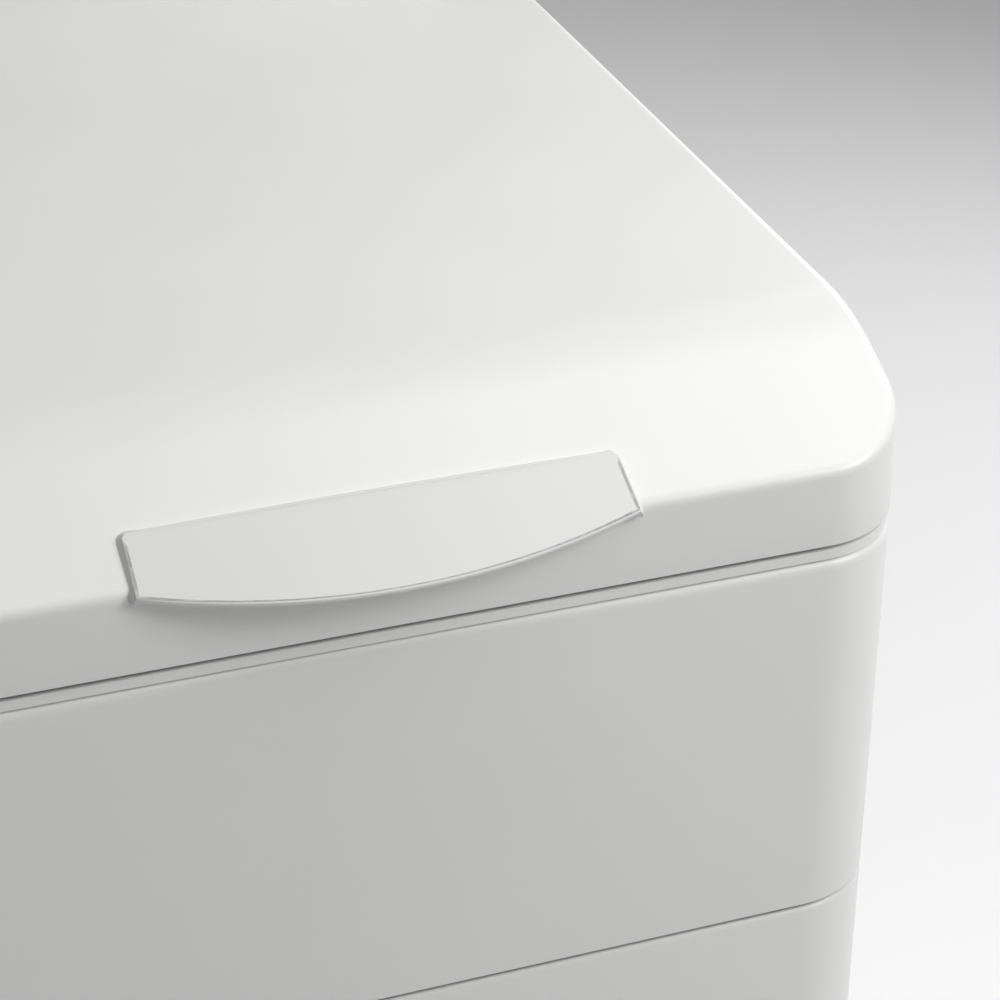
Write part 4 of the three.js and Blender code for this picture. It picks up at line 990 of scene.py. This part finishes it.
hex_sizes = {"Radius": 4 * MM, "Height": 2 * MM}
hex_group, source = node_group("hex_washer_screws", hex_sizes)
flat = add(hex_group, "ShaderNodeMath", {0: source.outputs["Radius"], 1: 0.66}, operation="MULTIPLY")
half = add(hex_group, "ShaderNodeMath", {0: source.outputs["Height"], 1: 0.5}, operation="MULTIPLY")
thin = add(hex_group, "ShaderNodeMath", {0: source.outputs["Height"], 1: 0.3}, operation="MULTIPLY")
head = add(hex_group, "GeometryNodeMeshCylinder", {
    "Vertices": 6, "Radius": flat.outputs[0], "Depth": source.outputs["Height"]})
seat_up = add(hex_group, "ShaderNodeCombineXYZ", {"Z": half.outputs[0]})
standing = add(hex_group, "GeometryNodeTransform", {"Geometry": head.outputs[0],
                                                    "Translation": seat_up.outputs[0]})
washer = add(hex_group, "GeometryNodeMeshCone", {
    "Vertices": 16, "Radius Top": flat.outputs[0], "Radius Bottom": source.outputs["Radius"],
    "Depth": thin.outputs[0]})
both = add(hex_group, "GeometryNodeJoinGeometry")
hex_group.links.new(standing.outputs[0], both.inputs[0])
hex_group.links.new(washer.outputs[0], both.inputs[0])
set_out(hex_group, source, both.outputs[0], zinc)
console_screws = grown(hex_group, {"Radius": 3.4 * MM, "Height": 1.7 * MM}, [
    ((x * MM, console_back, console_low[2] + z * MM), (-math.pi / 2, 0, 0))
    for x in (-170, 0, 170) for z in (14, 90)])
settle("console_screws", console_screws, zinc, "cabinet")
bracket_low, bracket_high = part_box("hinge_bracket_right")
bracket_x = (bracket_low[0] + bracket_high[0]) / 2
hinge_screws = grown(hex_group, {"Radius": 3.6 * MM, "Height": 2.4 * MM}, [
    ((side * bracket_x + off * MM, (bracket_low[1] + bracket_high[1]) / 2, bracket_low[2] + 3.1 * MM),
     (0, 0, 0)) for side in (-1, 1) for off in (-7, 7)])
settle("hinge_screws", hinge_screws, zinc, "cabinet")


# Bag tray and odour filter. A grey moulded tray hangs in the deck's opening and holds the spare bags on
# raised ribs. At its rear a white cradle holds the pleated charcoal filter.
tray_plan = box_plan(tray_low, tray_high, TRAY_CORNER + FLANGE, TRAY_CORNER + FLANGE)
tray_top, tray_floor = tray_high[2], tray_low[2]
tray_rows = [
    (12.3, tray_floor), (10.9, tray_floor + 0.6 * MM), (10.3, tray_floor + 2 * MM),
    (10.3, tray_top - 2 * MM), (0.5, tray_top - 2 * MM), (0, tray_top - 1.5 * MM),
    (0, tray_top - 0.5 * MM), (0.5, tray_top), (11, tray_top), (11.8, tray_top - 0.6 * MM),
    (12, tray_top - 2 * MM), (12, tray_floor + 4.5 * MM), (12.7, tray_floor + 2.7 * MM),
    (14.5, tray_floor + 2 * MM)]
tray = rings_to_shell([level(tray_plan, z, inset * MM) for inset, z in tray_rows])
filter_low, filter_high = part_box("odour_filter")
rib_rows = [((0, tray_low[1] + (40 + 36 * i) * MM, tray_floor + 2.2 * MM), (0, 0, 0)) for i in range(7)]
ribs = grown(bar_group, {"Length": 240 * MM, "Width": 5 * MM, "Thickness": 2.2 * MM}, rib_rows)
settle("bag_tray_moulding", joined(tray, ribs), grey_pp, "cabinet", ["bag_tray"])
cradle = broken_edges("filter_cradle", 0.6 * MM)
settle("filter_holder", cradle, white_abs, "cabinet", ["filter_cradle"])

charcoal, tree = finish("needled_charcoal_felt")
place = add(tree, "ShaderNodeTexCoord")
fibre = add(tree, "ShaderNodeTexNoise", {"Vector": place.outputs["Object"], "Scale": 900.0, "Detail": 6.0})
tone = add(tree, "ShaderNodeMix", {0: fibre.outputs[0], 6: srgb("#161617"), 7: srgb("#3a3a3c")},
           data_type="RGBA")
bump = add(tree, "ShaderNodeBump", {"Strength": 0.6, "Distance": 0.0006, "Height": fibre.outputs[0]})
skin = add(tree, "ShaderNodeBsdfPrincipled", {
    "Base Color": tone.outputs[2], "Roughness": 0.95, "IOR": 1.5, "Normal": bump.outputs[0]})
add(tree, "ShaderNodeOutputMaterial", {"Surface": skin.outputs[0]})
PLEATS = 16
pleat = (filter_high[1] - filter_low[1]) / PLEATS
pleat_line = [(filter_low[1], filter_low[2]), (filter_high[1], filter_low[2])]
for i in range(PLEATS):
    top_y = filter_high[1] - pleat * i
    pleat_line += [(top_y, filter_high[2] - 5 * MM), (top_y - pleat * 0.4, filter_high[2]),
                   (top_y - pleat * 0.6, filter_high[2])]
pleat_line.append((filter_low[1], filter_high[2] - 5 * MM))
count = len(pleat_line)
pad_verts = [(x, y, z) for x in (filter_low[0], filter_high[0]) for y, z in pleat_line]
pad_faces = [tuple(reversed(range(count))), tuple(range(count, 2 * count))]
pad_faces += [(i, (i + 1) % count, count + (i + 1) % count, count + i) for i in range(count)]
settle("odour_filter_pad", mesh_of(pad_verts, pad_faces), charcoal, "cabinet", ["odour_filter"])


# Bin drawer. An enamelled front with its own lip handle, a grey steel lining behind it, and a folded
# carrier that takes the removable bin. It runs on three-part slides screwed to the bearing plate.
drawer_plan = half_plan(front_high[0], front_y, front_y + 50 * MM, CORNER, 3 * MM,
                        [front_y + 40 * MM, front_y + 44 * MM], 22)
drawer_bottom, drawer_top = front_low[2], front_high[2]
front_rows = [(2.5, 0), (1.25, 0.33), (0.33, 1.25), (0, 2.5)]
front_rings = [level(drawer_plan, drawer_bottom + z * MM, inset * MM) for inset, z in front_rows]
front_rings += [level(drawer_plan, drawer_top - z * MM, inset * MM) for inset, z in reversed(front_rows)]
drawer_face = rings_to_shell(front_rings)
drawer_hollow = rings_to_shell([
    level(half_plan(front_high[0] - SHEET, front_y + SHEET, front_y + 70 * MM, CORNER - SHEET, 3 * MM,
                    [front_y + 44 * MM], 22), z) for z in (drawer_bottom + SHEET, drawer_top - SHEET)])
drawer_face = carved(drawer_face, drawer_hollow)
drawer_face = carved(drawer_face, block((-0.3, front_high[1], 0), (0.3, front_high[1] + 0.1, 1)))
settle("drawer_face", drawer_face, enamel, "drawer", ["drawer_front"])

drawer_lip = grip_mesh((0, front_y + GRIP_TOP[0], drawer_top - 96 * MM + GRIP_TOP[1]), front_y - 0.3 * MM)
settle("drawer_grip", drawer_lip, painted_abs, "drawer", ["drawer_handle"], crease=50)

grey_paint, tree = finish("grey_powder_coat")
place = add(tree, "ShaderNodeTexCoord")
peel = add(tree, "ShaderNodeTexNoise", {"Vector": place.outputs["Object"], "Scale": 700.0, "Detail": 2.0})
drift = add(tree, "ShaderNodeTexNoise", {"Vector": place.outputs["Object"], "Scale": 10.0, "Detail": 3.0})
tone = add(tree, "ShaderNodeMix", {0: drift.outputs[0], 6: srgb("#6a6f73"), 7: srgb("#767b7f")},
           data_type="RGBA")
rough = add(tree, "ShaderNodeMapRange", {0: drift.outputs[0], 3: 0.44, 4: 0.56})
bump = add(tree, "ShaderNodeBump", {"Strength": 0.15, "Distance": 0.0002, "Height": peel.outputs[0]})
skin = add(tree, "ShaderNodeBsdfPrincipled", {
    "Base Color": tone.outputs[2], "Roughness": rough.outputs[0], "IOR": 1.5, "Normal": bump.outputs[0]})
add(tree, "ShaderNodeOutputMaterial", {"Surface": skin.outputs[0]})

lining_low, lining_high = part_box("drawer_liner")
lining_sheet = block(lining_low, lining_high, 0.6 * MM)
for z in (0.15, 0.5, 0.85):
    rise = lining_low[2] + (lining_high[2] - lining_low[2]) * z
    swage = turned((-150 * MM, lining_high[1] - 1.5 * MM, rise), (1, 0, 0),
                   [(0, 0.5 * MM), (4 * MM, 3.2 * MM), (296 * MM, 3.2 * MM), (300 * MM, 0.5 * MM)], 16)
    lining_sheet = carved(lining_sheet, swage, "UNION")
settle("drawer_lining", lining_sheet, grey_paint, "drawer", ["drawer_liner"])
carrier = broken_edges("drawer_carrier", 0.5 * MM)
settle("bin_carrier", carrier, grey_paint, "drawer", ["drawer_carrier"])

bin_low, bin_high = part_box("bin")
bin_plan = box_plan(bin_low, bin_high, 22 * MM, 22 * MM, steps=8)
rim, floor = bin_high[2], bin_low[2]
bin_rows = [(3, floor), (0.9, floor + 0.9 * MM), (0, floor + 3 * MM)]
for rise in (0.16, 0.5, 0.84):
    z = floor + (rim - floor) * rise
    bin_rows += [(0, z - 8 * MM), (1.2, z - 5 * MM), (1.2, z + 5 * MM), (0, z + 8 * MM)]
bin_rows += [(0, rim - 1.2 * MM), (0.4, rim - 0.4 * MM), (1.4, rim), (3.2, rim), (4.2, rim - 0.6 * MM),
             (4.6, rim - 2 * MM), (4.2, rim - 4 * MM), (3.2, rim - 4.6 * MM), (1.6, rim - 5 * MM)]
for rise in (0.84, 0.5, 0.16):
    z = floor + (rim - floor) * rise
    bin_rows += [(1.5, z + 8 * MM), (2.7, z + 5 * MM), (2.7, z - 5 * MM), (1.5, z - 8 * MM)]
bin_rows += [(1.5, floor + 4 * MM), (2.2, floor + 2.2 * MM), (4, floor + 1.5 * MM)]
bin_shell = rings_to_shell([level(bin_plan, z, inset * MM) for inset, z in bin_rows])
settle("bin_pressing", bin_shell, grey_paint, "drawer", ["bin"])

for side in ("left", "right"):
    fixed = broken_edges(f"rail_fixed_{side}", 0.3 * MM)
    settle(f"slide_outer_{side}", fixed, zinc, "cabinet", [f"rail_fixed_{side}"])
    middle_rail = broken_edges(f"rail_middle_{side}", 0.3 * MM)
    settle(f"slide_middle_{side}", middle_rail, zinc, "middle_rails", [f"rail_middle_{side}"])
    inner = broken_edges(f"rail_drawer_{side}", 0.3 * MM)
    settle(f"slide_inner_{side}", inner, steel, "drawer", [f"rail_drawer_{side}"])


# Press. Two folded columns stand beside the bin. A power screw runs up each and drives a nylon nut, and
# the nuts carry a folded yoke with the ram, a pressed steel box, hung below it.
ram_low, ram_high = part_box("ram_box")
screw_low, screw_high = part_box("power_screw_right")
screw_x = (screw_low[0] + screw_high[0]) / 2
screw_y = (screw_low[1] + screw_high[1]) / 2
THREAD_LEAD = 10 * MM
CORE_R = 6.4 * MM
CREST_R = 7.8 * MM

ram_plan = box_plan((ram_low[0], ram_low[1]), (ram_high[0], ram_high[1]), 14 * MM, 14 * MM, steps=8)
ram_rows = [(46, ram_low[2] + 2.2 * MM), (44, ram_low[2] + 1.8 * MM), (41, ram_low[2]),
            (24, ram_low[2]), (21, ram_low[2] + 1.8 * MM), (17, ram_low[2] + 1.8 * MM),
            (14, ram_low[2]), (3, ram_low[2]), (0.9, ram_low[2] + 0.9 * MM), (0, ram_low[2] + 3 * MM),
            (0, ram_high[2] - 0.5 * MM), (0.5, ram_high[2]), (1.5, ram_high[2]),
            (2, ram_high[2] - 0.5 * MM), (2, ram_low[2] + 5 * MM), (3, ram_low[2] + 4.2 * MM),
            (5, ram_low[2] + 4 * MM)]
ram_lower = rings_to_shell([level(ram_plan, z, min(inset, 13.5) * MM) if inset < 14 else
                            [(x * (1 - inset * MM / ram_high[0]),
                              screw_y + (y - screw_y) * (1 - inset * MM / ram_high[0]), z)
                             for x, y, nx, ny in ram_plan] for inset, z in ram_rows])
settle("ram_pressing", ram_lower, grey_paint, "ram", ["ram_box"])
yoke_low, yoke_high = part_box("ram_yoke")
yoke = broken_edges("ram_yoke", 1 * MM)
settle("ram_crossbeam", yoke, grey_paint, "ram", ["ram_yoke"])
yoke_bolts = grown(hex_group, {"Radius": 6 * MM, "Height": 4 * MM}, [
    ((side * x * MM, yoke_high[1] if facing > 0 else yoke_low[1], (yoke_low[2] + yoke_high[2]) / 2),
     (-facing * math.pi / 2, 0, 0)) for side in (-1, 1) for x in (60, 140) for facing in (-1, 1)])
settle("yoke_bolts", yoke_bolts, zinc, "ram")

nylon, tree = finish("cast_nylon")
place = add(tree, "ShaderNodeTexCoord")
milky = add(tree, "ShaderNodeTexNoise", {"Vector": place.outputs["Object"], "Scale": 50.0, "Detail": 3.0})
tone = add(tree, "ShaderNodeMix", {0: milky.outputs[0], 6: srgb("#dcd9cf"), 7: srgb("#e8e5dc")},
           data_type="RGBA")
skin = add(tree, "ShaderNodeBsdfPrincipled", {
    "Base Color": tone.outputs[2], "Roughness": 0.5, "IOR": 1.53, "Subsurface Weight": 0.1,
    "Subsurface Scale": 0.002})
add(tree, "ShaderNodeOutputMaterial", {"Surface": skin.outputs[0]})

black_steel, tree = finish("black_oxide_steel")
place = add(tree, "ShaderNodeTexCoord")
cloud = add(tree, "ShaderNodeTexNoise", {"Vector": place.outputs["Object"], "Scale": 70.0, "Detail": 5.0})
tone = add(tree, "ShaderNodeMix", {0: cloud.outputs[0], 6: srgb("#3b3d40"), 7: srgb("#5a5c60")},
           data_type="RGBA")
rough = add(tree, "ShaderNodeMapRange", {0: cloud.outputs[0], 3: 0.36, 4: 0.56})
skin = add(tree, "ShaderNodeBsdfPrincipled", {
    "Base Color": tone.outputs[2], "Metallic": 0.85, "Roughness": rough.outputs[0]})
add(tree, "ShaderNodeOutputMaterial", {"Surface": skin.outputs[0]})

thread_sizes = {"Turns": (screw_high[2] - screw_low[2] - 150 * MM) / THREAD_LEAD,
                "Height": screw_high[2] - screw_low[2] - 150 * MM,
                "Radius": (CORE_R + CREST_R) / 2}
thread_group, source = node_group("two_start_thread", thread_sizes)
helix = add(thread_group, "GeometryNodeCurveSpiral", {
    "Resolution": 18, "Rotations": source.outputs["Turns"], "Start Radius": source.outputs["Radius"],
    "End Radius": source.outputs["Radius"], "Height": source.outputs["Height"]})
upright = add(thread_group, "GeometryNodeSetCurveNormal", {"Curve": helix.outputs[0]}, mode="Z_UP")
flank = add(thread_group, "GeometryNodeCurvePrimitiveQuadrilateral", {
    "Bottom Width": 2.6 * MM, "Top Width": 1.5 * MM, "Offset": 0.0,
    "Height": CREST_R - CORE_R + 0.4 * MM},
    mode="TRAPEZOID")
outward = add(thread_group, "GeometryNodeTransform", {"Geometry": flank.outputs[0],
                                                      "Rotation": (0, 0, math.pi / 2)})
ridge = add(thread_group, "GeometryNodeCurveToMesh", {
    "Curve": upright.outputs[0], "Profile Curve": outward.outputs[0], "Fill Caps": True})
other = add(thread_group, "GeometryNodeTransform", {"Geometry": ridge.outputs[0],
                                                    "Rotation": (0, 0, math.pi)})
starts = add(thread_group, "GeometryNodeJoinGeometry")
thread_group.links.new(ridge.outputs[0], starts.inputs[0])
thread_group.links.new(other.outputs[0], starts.inputs[0])
set_out(thread_group, source, starts.outputs[0], steel)


def toothed(centre, low_z, high_z, root, tip, teeth, bore):
    """A sprocket: a flat toothed rim round a bore, with the teeth narrowed at their tips."""
    outline = []
    for i in range(teeth):
        for share, radius in ((-0.5, root), (-0.22, root), (-0.1, tip), (0.1, tip), (0.22, root)):
            a = 2 * math.pi * (i + share) / teeth
            outline.append((a, radius))
    count = len(outline)
    verts = []
    for z, pinch in ((low_z, 0.6 * MM), (low_z + 1 * MM, 0), (high_z - 1 * MM, 0), (high_z, 0.6 * MM)):
        for a, radius in outline:
            r = radius - pinch
            verts.append((centre[0] + r * math.cos(a), centre[1] + r * math.sin(a), z))
    for z in (high_z, low_z):
        verts += [(centre[0] + bore * math.cos(a), centre[1] + bore * math.sin(a), z)
                  for a, radius in outline]
    faces = []
    for r in range(6):
        n = (r + 1) % 6
        for i in range(count):
            j = (i + 1) % count
            faces.append((r * count + i, r * count + j, n * count + j, n * count + i))
    return mesh_of(verts, faces)


for side, sign in (("left", -1), ("right", 1)):
    x = sign * screw_x
    rod_rows = [(0, 6.8), (1, 7.6), (96, 7.6), (98, CORE_R / MM), (screw_high[2] / MM - 92, CORE_R / MM),
                (screw_high[2] / MM - 90, 7.6), (screw_high[2] / MM - 41, 7.6),
                (screw_high[2] / MM - 40, 6.8)]
    rod = turned((x, screw_y, screw_low[2]), (0, 0, 1), [(a * MM, r * MM) for a, r in rod_rows], 24)
    thread = grown(thread_group, thread_sizes, [((x, screw_y, screw_low[2] + 98 * MM), (0, 0, 0))])
    settle(f"power_screw_rod_{side}", joined(rod, thread), steel, f"screw_{side}",
           [f"power_screw_{side}"])
    sprocket_low, sprocket_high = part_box(f"sprocket_{side}")
    wheel = toothed((x, screw_y), sprocket_low[2], sprocket_high[2], 11.6 * MM, 13.9 * MM, 14, 8.2 * MM)
    settle(f"sprocket_wheel_{side}", wheel, black_steel, f"screw_{side}", [f"sprocket_{side}"])
    bearing_low, bearing_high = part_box(f"lower_bearing_{side}")
    rise = (bearing_high[2] - bearing_low[2]) / MM
    race = [(0, 15.4), (0.6, 16), (rise - 0.6, 16), (rise, 15.4), (rise, 13.2), (rise - 0.8, 12.8),
            (rise - 0.8, 11.4), (rise, 11), (rise, 9.2), (rise - 0.4, 8.8), (0.4, 8.8), (0, 9.2)]
    collar = looped((x, screw_y, bearing_low[2]), (0, 0, 1), [(a * MM, r * MM) for a, r in race])
    settle(f"thrust_bearing_{side}", collar, steel, "cabinet", [f"lower_bearing_{side}"])
    nut = broken_edges(f"ram_nut_{side}", 1 * MM)
    settle(f"drive_nut_{side}", nut, nylon, "ram", [f"ram_nut_{side}"])
    cap_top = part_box(f"upper_bearing_{side}")[1][2]
    cap = broken_edges(f"upper_bearing_{side}", 0.8 * MM)
    settle(f"top_bearing_{side}", cap, black_steel, "cabinet", [f"upper_bearing_{side}"])
    column = broken_edges(f"column_{side}", 0.5 * MM)
    settle(f"press_column_{side}", column, zinc, "cabinet", [f"column_{side}"])
cap_bolts = grown(hex_group, {"Radius": 5 * MM, "Height": 3.4 * MM}, [
    ((sign * screw_x, screw_y + y * MM, cap_top), (0, 0, 0)) for sign in (-1, 1) for y in (-18, 18)])
settle("bearing_bolts", cap_bolts, zinc, "cabinet")


# Drive. A motor stands behind the drawer on the bearing plate. Its sprocket and the two on the screws
# share one roller chain in the base, and the chain's links are set out by Geometry Nodes.
motor_low, motor_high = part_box("motor")
pinion_low, pinion_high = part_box("motor_sprocket")
chain_low, chain_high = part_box("drive_chain")
motor_y = (motor_low[1] + motor_high[1]) / 2
motor_rise = (motor_high[2] - motor_low[2]) / MM
motor_rows = [(29, 0.05), (29, 9), (0, 9), (0, 44), (1.5, 46), (16, 46), (17, 44.5), (20, 44.5),
              (motor_rise - 26, 44.5), (motor_rise - 23, 44.5), (motor_rise - 22, 46),
              (motor_rise - 10, 46), (motor_rise - 4, 43), (motor_rise - 1.5, 34),
              (motor_rise - 1.5, 16), (motor_rise - 0.5, 14), (motor_rise, 12), (motor_rise, 0.05)]
can = turned((0, motor_y, motor_low[2]), (0, 0, 1), [(a * MM, r * MM) for a, r in motor_rows], 40)
FIN_COUNT = 36
FIN_CIRCLE = 47.5 * MM
fin_z = motor_low[2] + motor_rise * MM / 2 - 2 * MM
fin_spots = []
for i in range(FIN_COUNT):
    a = 2 * math.pi * i / FIN_COUNT
    fin_spots.append(((FIN_CIRCLE * math.cos(a), motor_y + FIN_CIRCLE * math.sin(a), fin_z),
                      (0, math.pi / 2, a)))
fin_sizes = {"Length": (motor_rise - 52) * MM, "Width": 1.8 * MM, "Thickness": 8.4 * MM}
fins = grown(bar_group, fin_sizes, fin_spots)
motor_lacquer, tree = finish("dark_motor_lacquer")
place = add(tree, "ShaderNodeTexCoord")
sag = add(tree, "ShaderNodeTexNoise", {"Vector": place.outputs["Object"], "Scale": 260.0, "Detail": 2.0})
tone = add(tree, "ShaderNodeMix", {0: sag.outputs[0], 6: srgb("#3a3d41"), 7: srgb("#484b50")},
           data_type="RGBA")
bump = add(tree, "ShaderNodeBump", {"Strength": 0.2, "Distance": 0.0004, "Height": sag.outputs[0]})
skin = add(tree, "ShaderNodeBsdfPrincipled", {
    "Base Color": tone.outputs[2], "Roughness": 0.42, "IOR": 1.5, "Normal": bump.outputs[0]})
add(tree, "ShaderNodeOutputMaterial", {"Surface": skin.outputs[0]})
settle("motor_can", joined(can, fins), motor_lacquer, "cabinet", ["motor"])
motor_bolts = grown(hex_group, {"Radius": 4 * MM, "Height": 3 * MM}, [
    ((40 * MM * math.cos(a), motor_y + 40 * MM * math.sin(a), motor_high[2] - 4.4 * MM), (0, 0, 0))
    for a in (math.pi / 4, 3 * math.pi / 4, 5 * math.pi / 4, 7 * math.pi / 4)])
settle("motor_bolts", motor_bolts, zinc, "cabinet")
shaft_rows = [(0, 5.2), (0.8, 5.9), ((pinion_high[2] - pinion_low[2]) / MM - 0.8, 5.9),
              ((pinion_high[2] - pinion_low[2]) / MM, 5.2)]
shaft = turned((0, motor_y, pinion_low[2]), (0, 0, 1), [(a * MM, r * MM) for a, r in shaft_rows], 24)
pinion = toothed((0, motor_y), chain_low[2], chain_high[2], 9.7 * MM, 11.9 * MM, 12, 5.7 * MM)
settle("motor_pinion", joined(shaft, pinion), black_steel, "motor_shaft", ["motor_sprocket"])

LINKS = 172
wheels = [(Vector((-screw_x, screw_y)), 16.6 * MM), (Vector((screw_x, screw_y)), 16.6 * MM),
          (Vector((0, motor_y)), 14.6 * MM)]
runs = []
for i in range(3):
    (centre, radius), (following, next_radius) = wheels[i], wheels[(i + 1) % 3]
    span = following - centre
    lean = math.asin((radius - next_radius) / span.length)
    off = math.atan2(span.y, span.x) - math.pi / 2 + lean
    leave = Vector((math.cos(off), math.sin(off)))
    runs.append((centre + leave * radius, following + leave * next_radius, off))
track = []
for i in range(3):
    start_point, end_point, off = runs[i]
    centre, radius = wheels[(i + 1) % 3]
    turn_to = runs[(i + 1) % 3][2]
    sweep_angle = (turn_to - off) % (2 * math.pi)
    track += [start_point, end_point]
    for k in range(1, 24):
        a = off + sweep_angle * k / 24
        track.append(centre + Vector((math.cos(a), math.sin(a))) * radius)
steps = [(track[(i + 1) % len(track)] - track[i]).length for i in range(len(track))]
chain_length = sum(steps)
link_pitch = chain_length / LINKS


def along_track(distance):
    """A point of the chain's path at a distance from its start."""
    distance %= chain_length
    for i, step in enumerate(steps):
        if distance <= step:
            return track[i].lerp(track[(i + 1) % len(track)], distance / max(step, 1e-9))
        distance -= step
    return track[0]


chain_middle = (chain_low[2] + chain_high[2]) / 2
links = []
rollers = []
for i in range(LINKS):
    here, ahead = along_track(i * link_pitch), along_track((i + 1) * link_pitch)
    centre = (here + ahead) / 2
    heading = math.atan2(ahead.y - here.y, ahead.x - here.x)
    spread = 2.55 * MM if i % 2 else 1.75 * MM
    links += [((centre.x, centre.y, chain_middle + up * spread), (0, 0, heading)) for up in (-1, 1)]
    rollers.append(((here.x, here.y, chain_middle), (0, 0, 0)))
plate_sizes = {"Length": link_pitch + 3.4 * MM, "Width": 3.7 * MM, "Thickness": 0.7 * MM}
plate_group, source = node_group("chain_plates", plate_sizes)
oval = add(plate_group, "GeometryNodeMeshCylinder", {"Vertices": 12, "Radius": 0.5, "Depth": 1.0})
oval_size = add(plate_group, "ShaderNodeCombineXYZ", {
    "X": source.outputs["Length"], "Y": source.outputs["Width"], "Z": source.outputs["Thickness"]})
flattened = add(plate_group, "GeometryNodeTransform", {"Geometry": oval.outputs[0],
                                                       "Scale": oval_size.outputs[0]})
set_out(plate_group, source, flattened.outputs[0], steel)
roller_sizes = {"Radius": 1.6 * MM, "Height": 5.9 * MM}
roller_group, source = node_group("chain_rollers", roller_sizes)
roller = add(roller_group, "GeometryNodeMeshCylinder", {
    "Vertices": 10, "Radius": source.outputs["Radius"], "Depth": source.outputs["Height"]})
set_out(roller_group, source, roller.outputs[0], steel)
chain = joined(grown(plate_group, plate_sizes, links), grown(roller_group, roller_sizes, rollers))
settle("roller_chain", chain, steel, "cabinet", ["drive_chain"])


# Base. A folded galvanised pan under a bearing plate, on four rubber feet that screw up and down. The
# enamelled toe kick closes its front, and the foot pedal comes through the toe kick's slot.
for node, edge in (("base_frame", 0.5 * MM), ("bearing_plate", 0.4 * MM)):
    settle(f"{node}_sheet", broken_edges(node, edge), zinc, "cabinet", [node])
foot_rows = [(0, 15.5), (0.5, 17.2), (1.4, 17.9), (2.6, 17.4), (3.4, 17.8), (4.6, 16.9), (5.4, 17.2),
             (6.6, 16.2), (8.2, 15.6), (9, 14.6), (9, 6.1), (8, 0.05)]
stud_rows = [(8.2, 5.2)]
for turn_count in range(9):
    stud_rows += [(9.4 + turn_count * 2.2, 5.2), (10.5 + turn_count * 2.2, 5.9)]
stud_rows += [(29.2, 5.2), (29.6, 4.4)]
for number in range(1, 5):
    foot_low, foot_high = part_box(f"levelling_foot_{number}")
    centre = ((foot_low[0] + foot_high[0]) / 2, (foot_low[1] + foot_high[1]) / 2, 0)
    foot = turned(centre, (0, 0, 1), [(a * MM, r * MM) for a, r in foot_rows], 28)
    settle(f"foot_pad_{number}", foot, rubber, "cabinet", [f"levelling_foot_{number}"])
    stud = turned(centre, (0, 0, 1), [(a * MM, r * MM) for a, r in stud_rows], 16)
    collar = turned(centre, (0, 0, 1), [(9.1 * MM, 9 * MM), (9.5 * MM, 9.6 * MM), (13.5 * MM, 9.6 * MM),
                                        (14 * MM, 9 * MM)], 6)
    settle(f"foot_stud_{number}", joined(stud, collar), steel, "cabinet")
kick = broken_edges("toe_kick", 0.4 * MM)
settle("toe_kick_sheet", kick, enamel, "cabinet", ["toe_kick"])

pad_low, pad_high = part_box("foot_pedal")
shaft_low, shaft_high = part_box("pedal_shaft")
pad_ribs = grown(bar_group, {"Length": 78 * MM, "Width": 1.6 * MM, "Thickness": 1.4 * MM}, [
    ((0, pad_low[1] + (4 + 4 * i) * MM, pad_high[2]), (0, 0, 0)) for i in range(5)])
pedal = joined(broken_edges("foot_pedal", 0.8 * MM), pad_ribs)
settle("pedal_moulding", pedal, black_abs, "pedal", ["foot_pedal"])
span = (shaft_high[0] - shaft_low[0]) / MM
spindle_rows = [(0, 4.3), (0.6, 4.9), (2, 4.9), (2.1, 4.1), (3, 4.1), (3.1, 4.9), (span - 3.1, 4.9),
                (span - 3, 4.1), (span - 2.1, 4.1), (span - 2, 4.9), (span - 0.6, 4.9), (span, 4.3)]
spindle = turned((shaft_low[0], (shaft_low[1] + shaft_high[1]) / 2, (shaft_low[2] + shaft_high[2]) / 2),
                 (1, 0, 0), [(a * MM, r * MM) for a, r in spindle_rows], 24)
settle("pedal_spindle", spindle, steel, "pedal", ["pedal_shaft"])
hook = broken_edges("drawer_latch", 0.6 * MM)
settle("latch_hook", hook, black_steel, "pedal", ["drawer_latch"])
